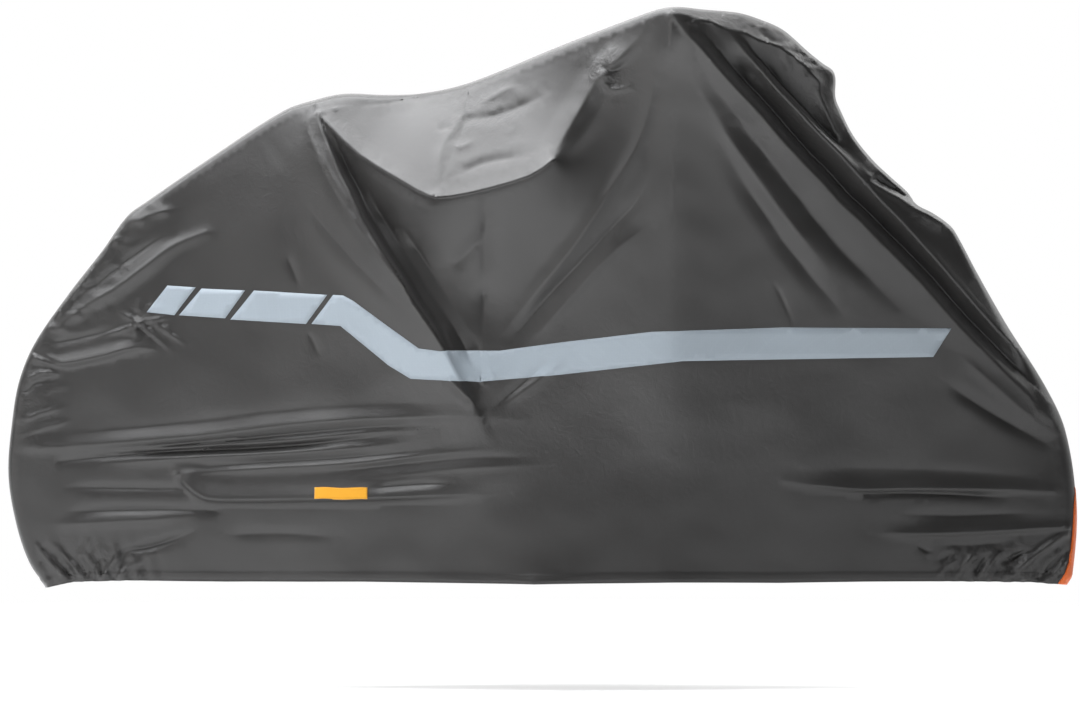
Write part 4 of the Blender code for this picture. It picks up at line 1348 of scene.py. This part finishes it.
def stitched(name, rows, finish, slot):
    """Rows of stitches, as one plain mesh."""
    s = sizes()
    points, edges = [], []
    for row in rows:
        edges += [(len(points) + i, len(points) + i + 1) for i in range(len(row) - 1)]
        points += [tuple(p) for p in row]
    mesh = bpy.data.meshes.new(name + "_run")
    mesh.from_pydata(points, edges, [])
    run = bpy.data.objects.new(name + "_run", mesh)
    bpy.context.collection.objects.link(run)
    tree, sockets = stitch_nodes()
    made = run.modifiers.new("stitches", "NODES")
    made.node_group = tree
    made[sockets["Pitch"]] = s.stitch_pitch
    made[sockets["Stitch"]] = (s.stitch_length, s.thread, s.thread)
    made[sockets["Thread"]] = finish
    run.update_tag()
    graph = bpy.context.evaluated_depsgraph_get()
    solid = bpy.data.meshes.new_from_object(run.evaluated_get(graph))
    bpy.data.objects.remove(run, do_unlink=True)
    solid.name = name
    solid.polygons.foreach_set("use_smooth", np.full(len(solid.polygons), True))
    piece = bpy.data.objects.new(name, solid)
    bpy.context.collection.objects.link(piece)
    return attach(piece, slot)


def line_on_side(stations, heights, side, lift):
    """Points just above the cloth of one side."""
    found = []
    for station, height in zip(stations, heights):
        place, normal = on_cloth(station, height, side)
        found.append(place + normal * lift)
    return found


class COVER_OT_stitching(bpy.types.Operator):
    """Stitch the hem and the tab"""

    bl_idname = "cover.stitching"
    bl_label = "Stitching"

    def execute(self, context):
        s = sizes()
        dark = thread_finish("dark_thread", shade(tuple(colours().nylon), 0.9))
        amber = thread_finish("amber_thread", shade(tuple(colours().amber), 0.7))
        tail, nose = HEM_STITCH_ENDS[0], s.length - HEM_STITCH_ENDS[1]
        stations = np.arange(tail, nose, 0.005)
        rise = -0.010 * np.exp(-((stations - tail) / 0.02)) - 0.005 * np.exp(-((nose - stations) / 0.02))
        rows = [
            line_on_side(stations, s.hem_depth - drop + rise, side, HEM_STITCH_LIFT)
            for side in (-1, 1) for drop in HEM_STITCH_DROPS
        ]
        stitched("hem_stitching", rows, dark, "charcoal_nylon")
        start, end, low, high = (v * MM for v in SIDE_TAB)
        along, up = TAB_STITCH_INSET
        left, right, bottom, top = start + along, end - along, low + up, high - up
        box = np.array([(left, bottom), (right, bottom), (right, top), (left, top), (left, bottom)])
        row = []
        for u, v in polyline(box, 0.004):
            bow = TAB_BOW * math.sin(math.pi * (u - start) / (end - start))
            row.append(on_cloth(u, v, -1)[0] + Vector((0, -(TAB_LIFT + TAB_THICK) - bow, 0)))
        stitched("tab_stitching", [row], amber, "amber_webbing")
        return {"FINISHED"}


class COVER_OT_sheet(bpy.types.Operator):
    bl_idname = "cover.sheet"
    bl_label = "Declare the Cloth"

    def execute(self, context):
        area = round(cover_sheet()["area"], 2)
        return {"FINISHED"}


# ---- Studio ----


class COVER_OT_stage(bpy.types.Operator):
    """Set up the pale floor, the soft light and the camera"""

    bl_idname = "cover.stage"
    bl_label = "Studio"

    def execute(self, context):
        scene, s, stage = context.scene, sizes(), context.scene.cover_stage
        ground = -s.height - stage.ground_gap
        middle = Vector((VIEW_STATION - s.rest_station, 0, VIEW_HEIGHT - s.height))
        count, radius = FLOOR_SIDES, FLOOR_RADIUS
        turns = [2 * math.pi * i / count for i in range(count)]
        rim = [(radius * math.cos(turn), radius * math.sin(turn), 0) for turn in turns]
        mesh = bpy.data.meshes.new("studio_floor")
        mesh.from_pydata([(0, 0, 0)] + rim, [], [(0, i + 1, (i + 1) % count + 1) for i in range(count)])
        floor = bpy.data.objects.new("studio_floor", mesh)
        floor.location = (middle.x, 0, ground)
        context.collection.objects.link(floor)
        f = new_finish("studio_floor")
        away = f.node("ShaderNodeVectorMath", {"operation": "LENGTH"}, {0: f.place})["Value"]
        fade = f.ramp(away * (1 / radius), ((0.30, WHITE), (0.95, BLACK)))
        seen = f.node("ShaderNodeLightPath")["Is Camera Ray"]
        apart = f.node("ShaderNodeVectorMath", {"operation": "DISTANCE"}, {0: f.place, 1: FLOOR_GLOW})
        glow = f.ramp(apart["Value"] * 0.5, ((0.25, WHITE), (0.7, (0.12, 0.12, 0.12, 1))))
        glow = f.between(seen, glow, (0.25, 0.25, 0.25))
        plain = f.node("ShaderNodeBsdfPrincipled", None, {
            "Base Color": (*colours().floor, 1), "Roughness": 0.9, "Emission Color": glow,
            "Emission Strength": 2.0,
        })
        clear = f.node("ShaderNodeBsdfTransparent")
        solid = fade * seen + (1 - seen)
        mixed = f.node("ShaderNodeMixShader", None, {0: solid, 1: clear["BSDF"], 2: plain["BSDF"]})
        f.node("ShaderNodeOutputMaterial", None, {"Surface": mixed["Shader"]})
        mesh.materials.append(f.owner)

        scene.world = bpy.data.worlds.new("studio")
        f = Finish(scene.world)
        split = f.node("ShaderNodeSeparateXYZ", None, {"Vector": f.coordinates["Generated"]})
        behind, above = (
            f.node("ShaderNodeMapRange", {"interpolation_type": "SMOOTHSTEP"}, {
                "Value": split[axis], "From Min": low, "From Max": high, "To Min": dark, "To Max": bright,
            })["Result"]
            for axis, low, high, dark, bright in (
                ("Y", -0.1, 0.95, 0.02, stage.backdrop), ("Z", 0.1, 1.0, 0.0, 0.10)
            )
        )
        dim = f.node("ShaderNodeBackground", None, {"Color": WHITE, "Strength": behind + above})
        shown = f.node("ShaderNodeBackground", None, {"Color": WHITE})
        seen = f.node("ShaderNodeLightPath")["Is Camera Ray"]
        picked = f.node("ShaderNodeMixShader", None, {0: seen, 1: dim[0], 2: shown[0]})
        f.node("ShaderNodeOutputWorld", None, {"Surface": picked[0]})

        for name, tint, place, aim, size in SOFTBOXES:
            lamp = bpy.data.lights.new(name + "_softbox", "AREA")
            lamp.shape, lamp.size, lamp.size_y = "RECTANGLE", *size
            lamp.energy, lamp.color = getattr(stage, name), tint
            obj = bpy.data.objects.new(name + "_softbox", lamp)
            obj.location = middle + Vector(place)
            obj.rotation_euler = (Vector(aim) - Vector(place)).to_track_quat("-Z", "Y").to_euler()
            context.collection.objects.link(obj)

        lens = bpy.data.cameras.new("view")
        lens.sensor_width = 36
        lens.lens = 36 * stage.distance / stage.field
        lens.clip_start, lens.clip_end = 0.1, 100
        camera = bpy.data.objects.new("view", lens)
        back = Vector((0, -math.cos(stage.elevation), math.sin(stage.elevation)))
        camera.location = middle + back * stage.distance
        camera.rotation_euler = (-back).to_track_quat("-Z", "Y").to_euler()
        context.collection.objects.link(camera)
        scene.camera = camera
        scene.view_settings.view_transform = "Standard"
        return {"FINISHED"}


class COVER_PT_panel(bpy.types.Panel):
    """The cover's pieces, sizes and colours"""

    bl_idname = "COVER_PT_panel"
    bl_label = "Bicycle Cover"
    bl_space_type = "VIEW_3D"
    bl_region_type = "UI"
    bl_category = "Cover"

    def draw(self, context):
        for step in STEPS:
            self.layout.operator(step.bl_idname)
        for group in (context.scene.cover_sizes, context.scene.cover_colours, context.scene.cover_stage):
            box = self.layout.box()
            for name in group.bl_rna.properties.keys():
                if name not in ("rna_type", "name"):
                    box.prop(group, name)


STEPS = (
    COVER_OT_cloth, COVER_OT_film, COVER_OT_side_tab, COVER_OT_nose_tape, COVER_OT_stitching, COVER_OT_sheet,
    COVER_OT_stage,
)
CLASSES = (CoverSizes, CoverColours, StageSettings, *STEPS, COVER_PT_panel)


def register():
    for each in CLASSES:
        bpy.utils.register_class(each)
    bpy.types.Scene.cover_sizes = PointerProperty(type=CoverSizes)
    bpy.types.Scene.cover_colours = PointerProperty(type=CoverColours)
    bpy.types.Scene.cover_stage = PointerProperty(type=StageSettings)


def unregister():
    for name in ("cover_sizes", "cover_colours", "cover_stage"):
        delattr(bpy.types.Scene, name)
    for each in reversed(CLASSES):
        bpy.utils.unregister_class(each)


def main():
    register()
    for step in STEPS:
        group, name = step.bl_idname.split(".")
        getattr(getattr(bpy.ops, group), name)()


if __name__ == "__main__":
    main()
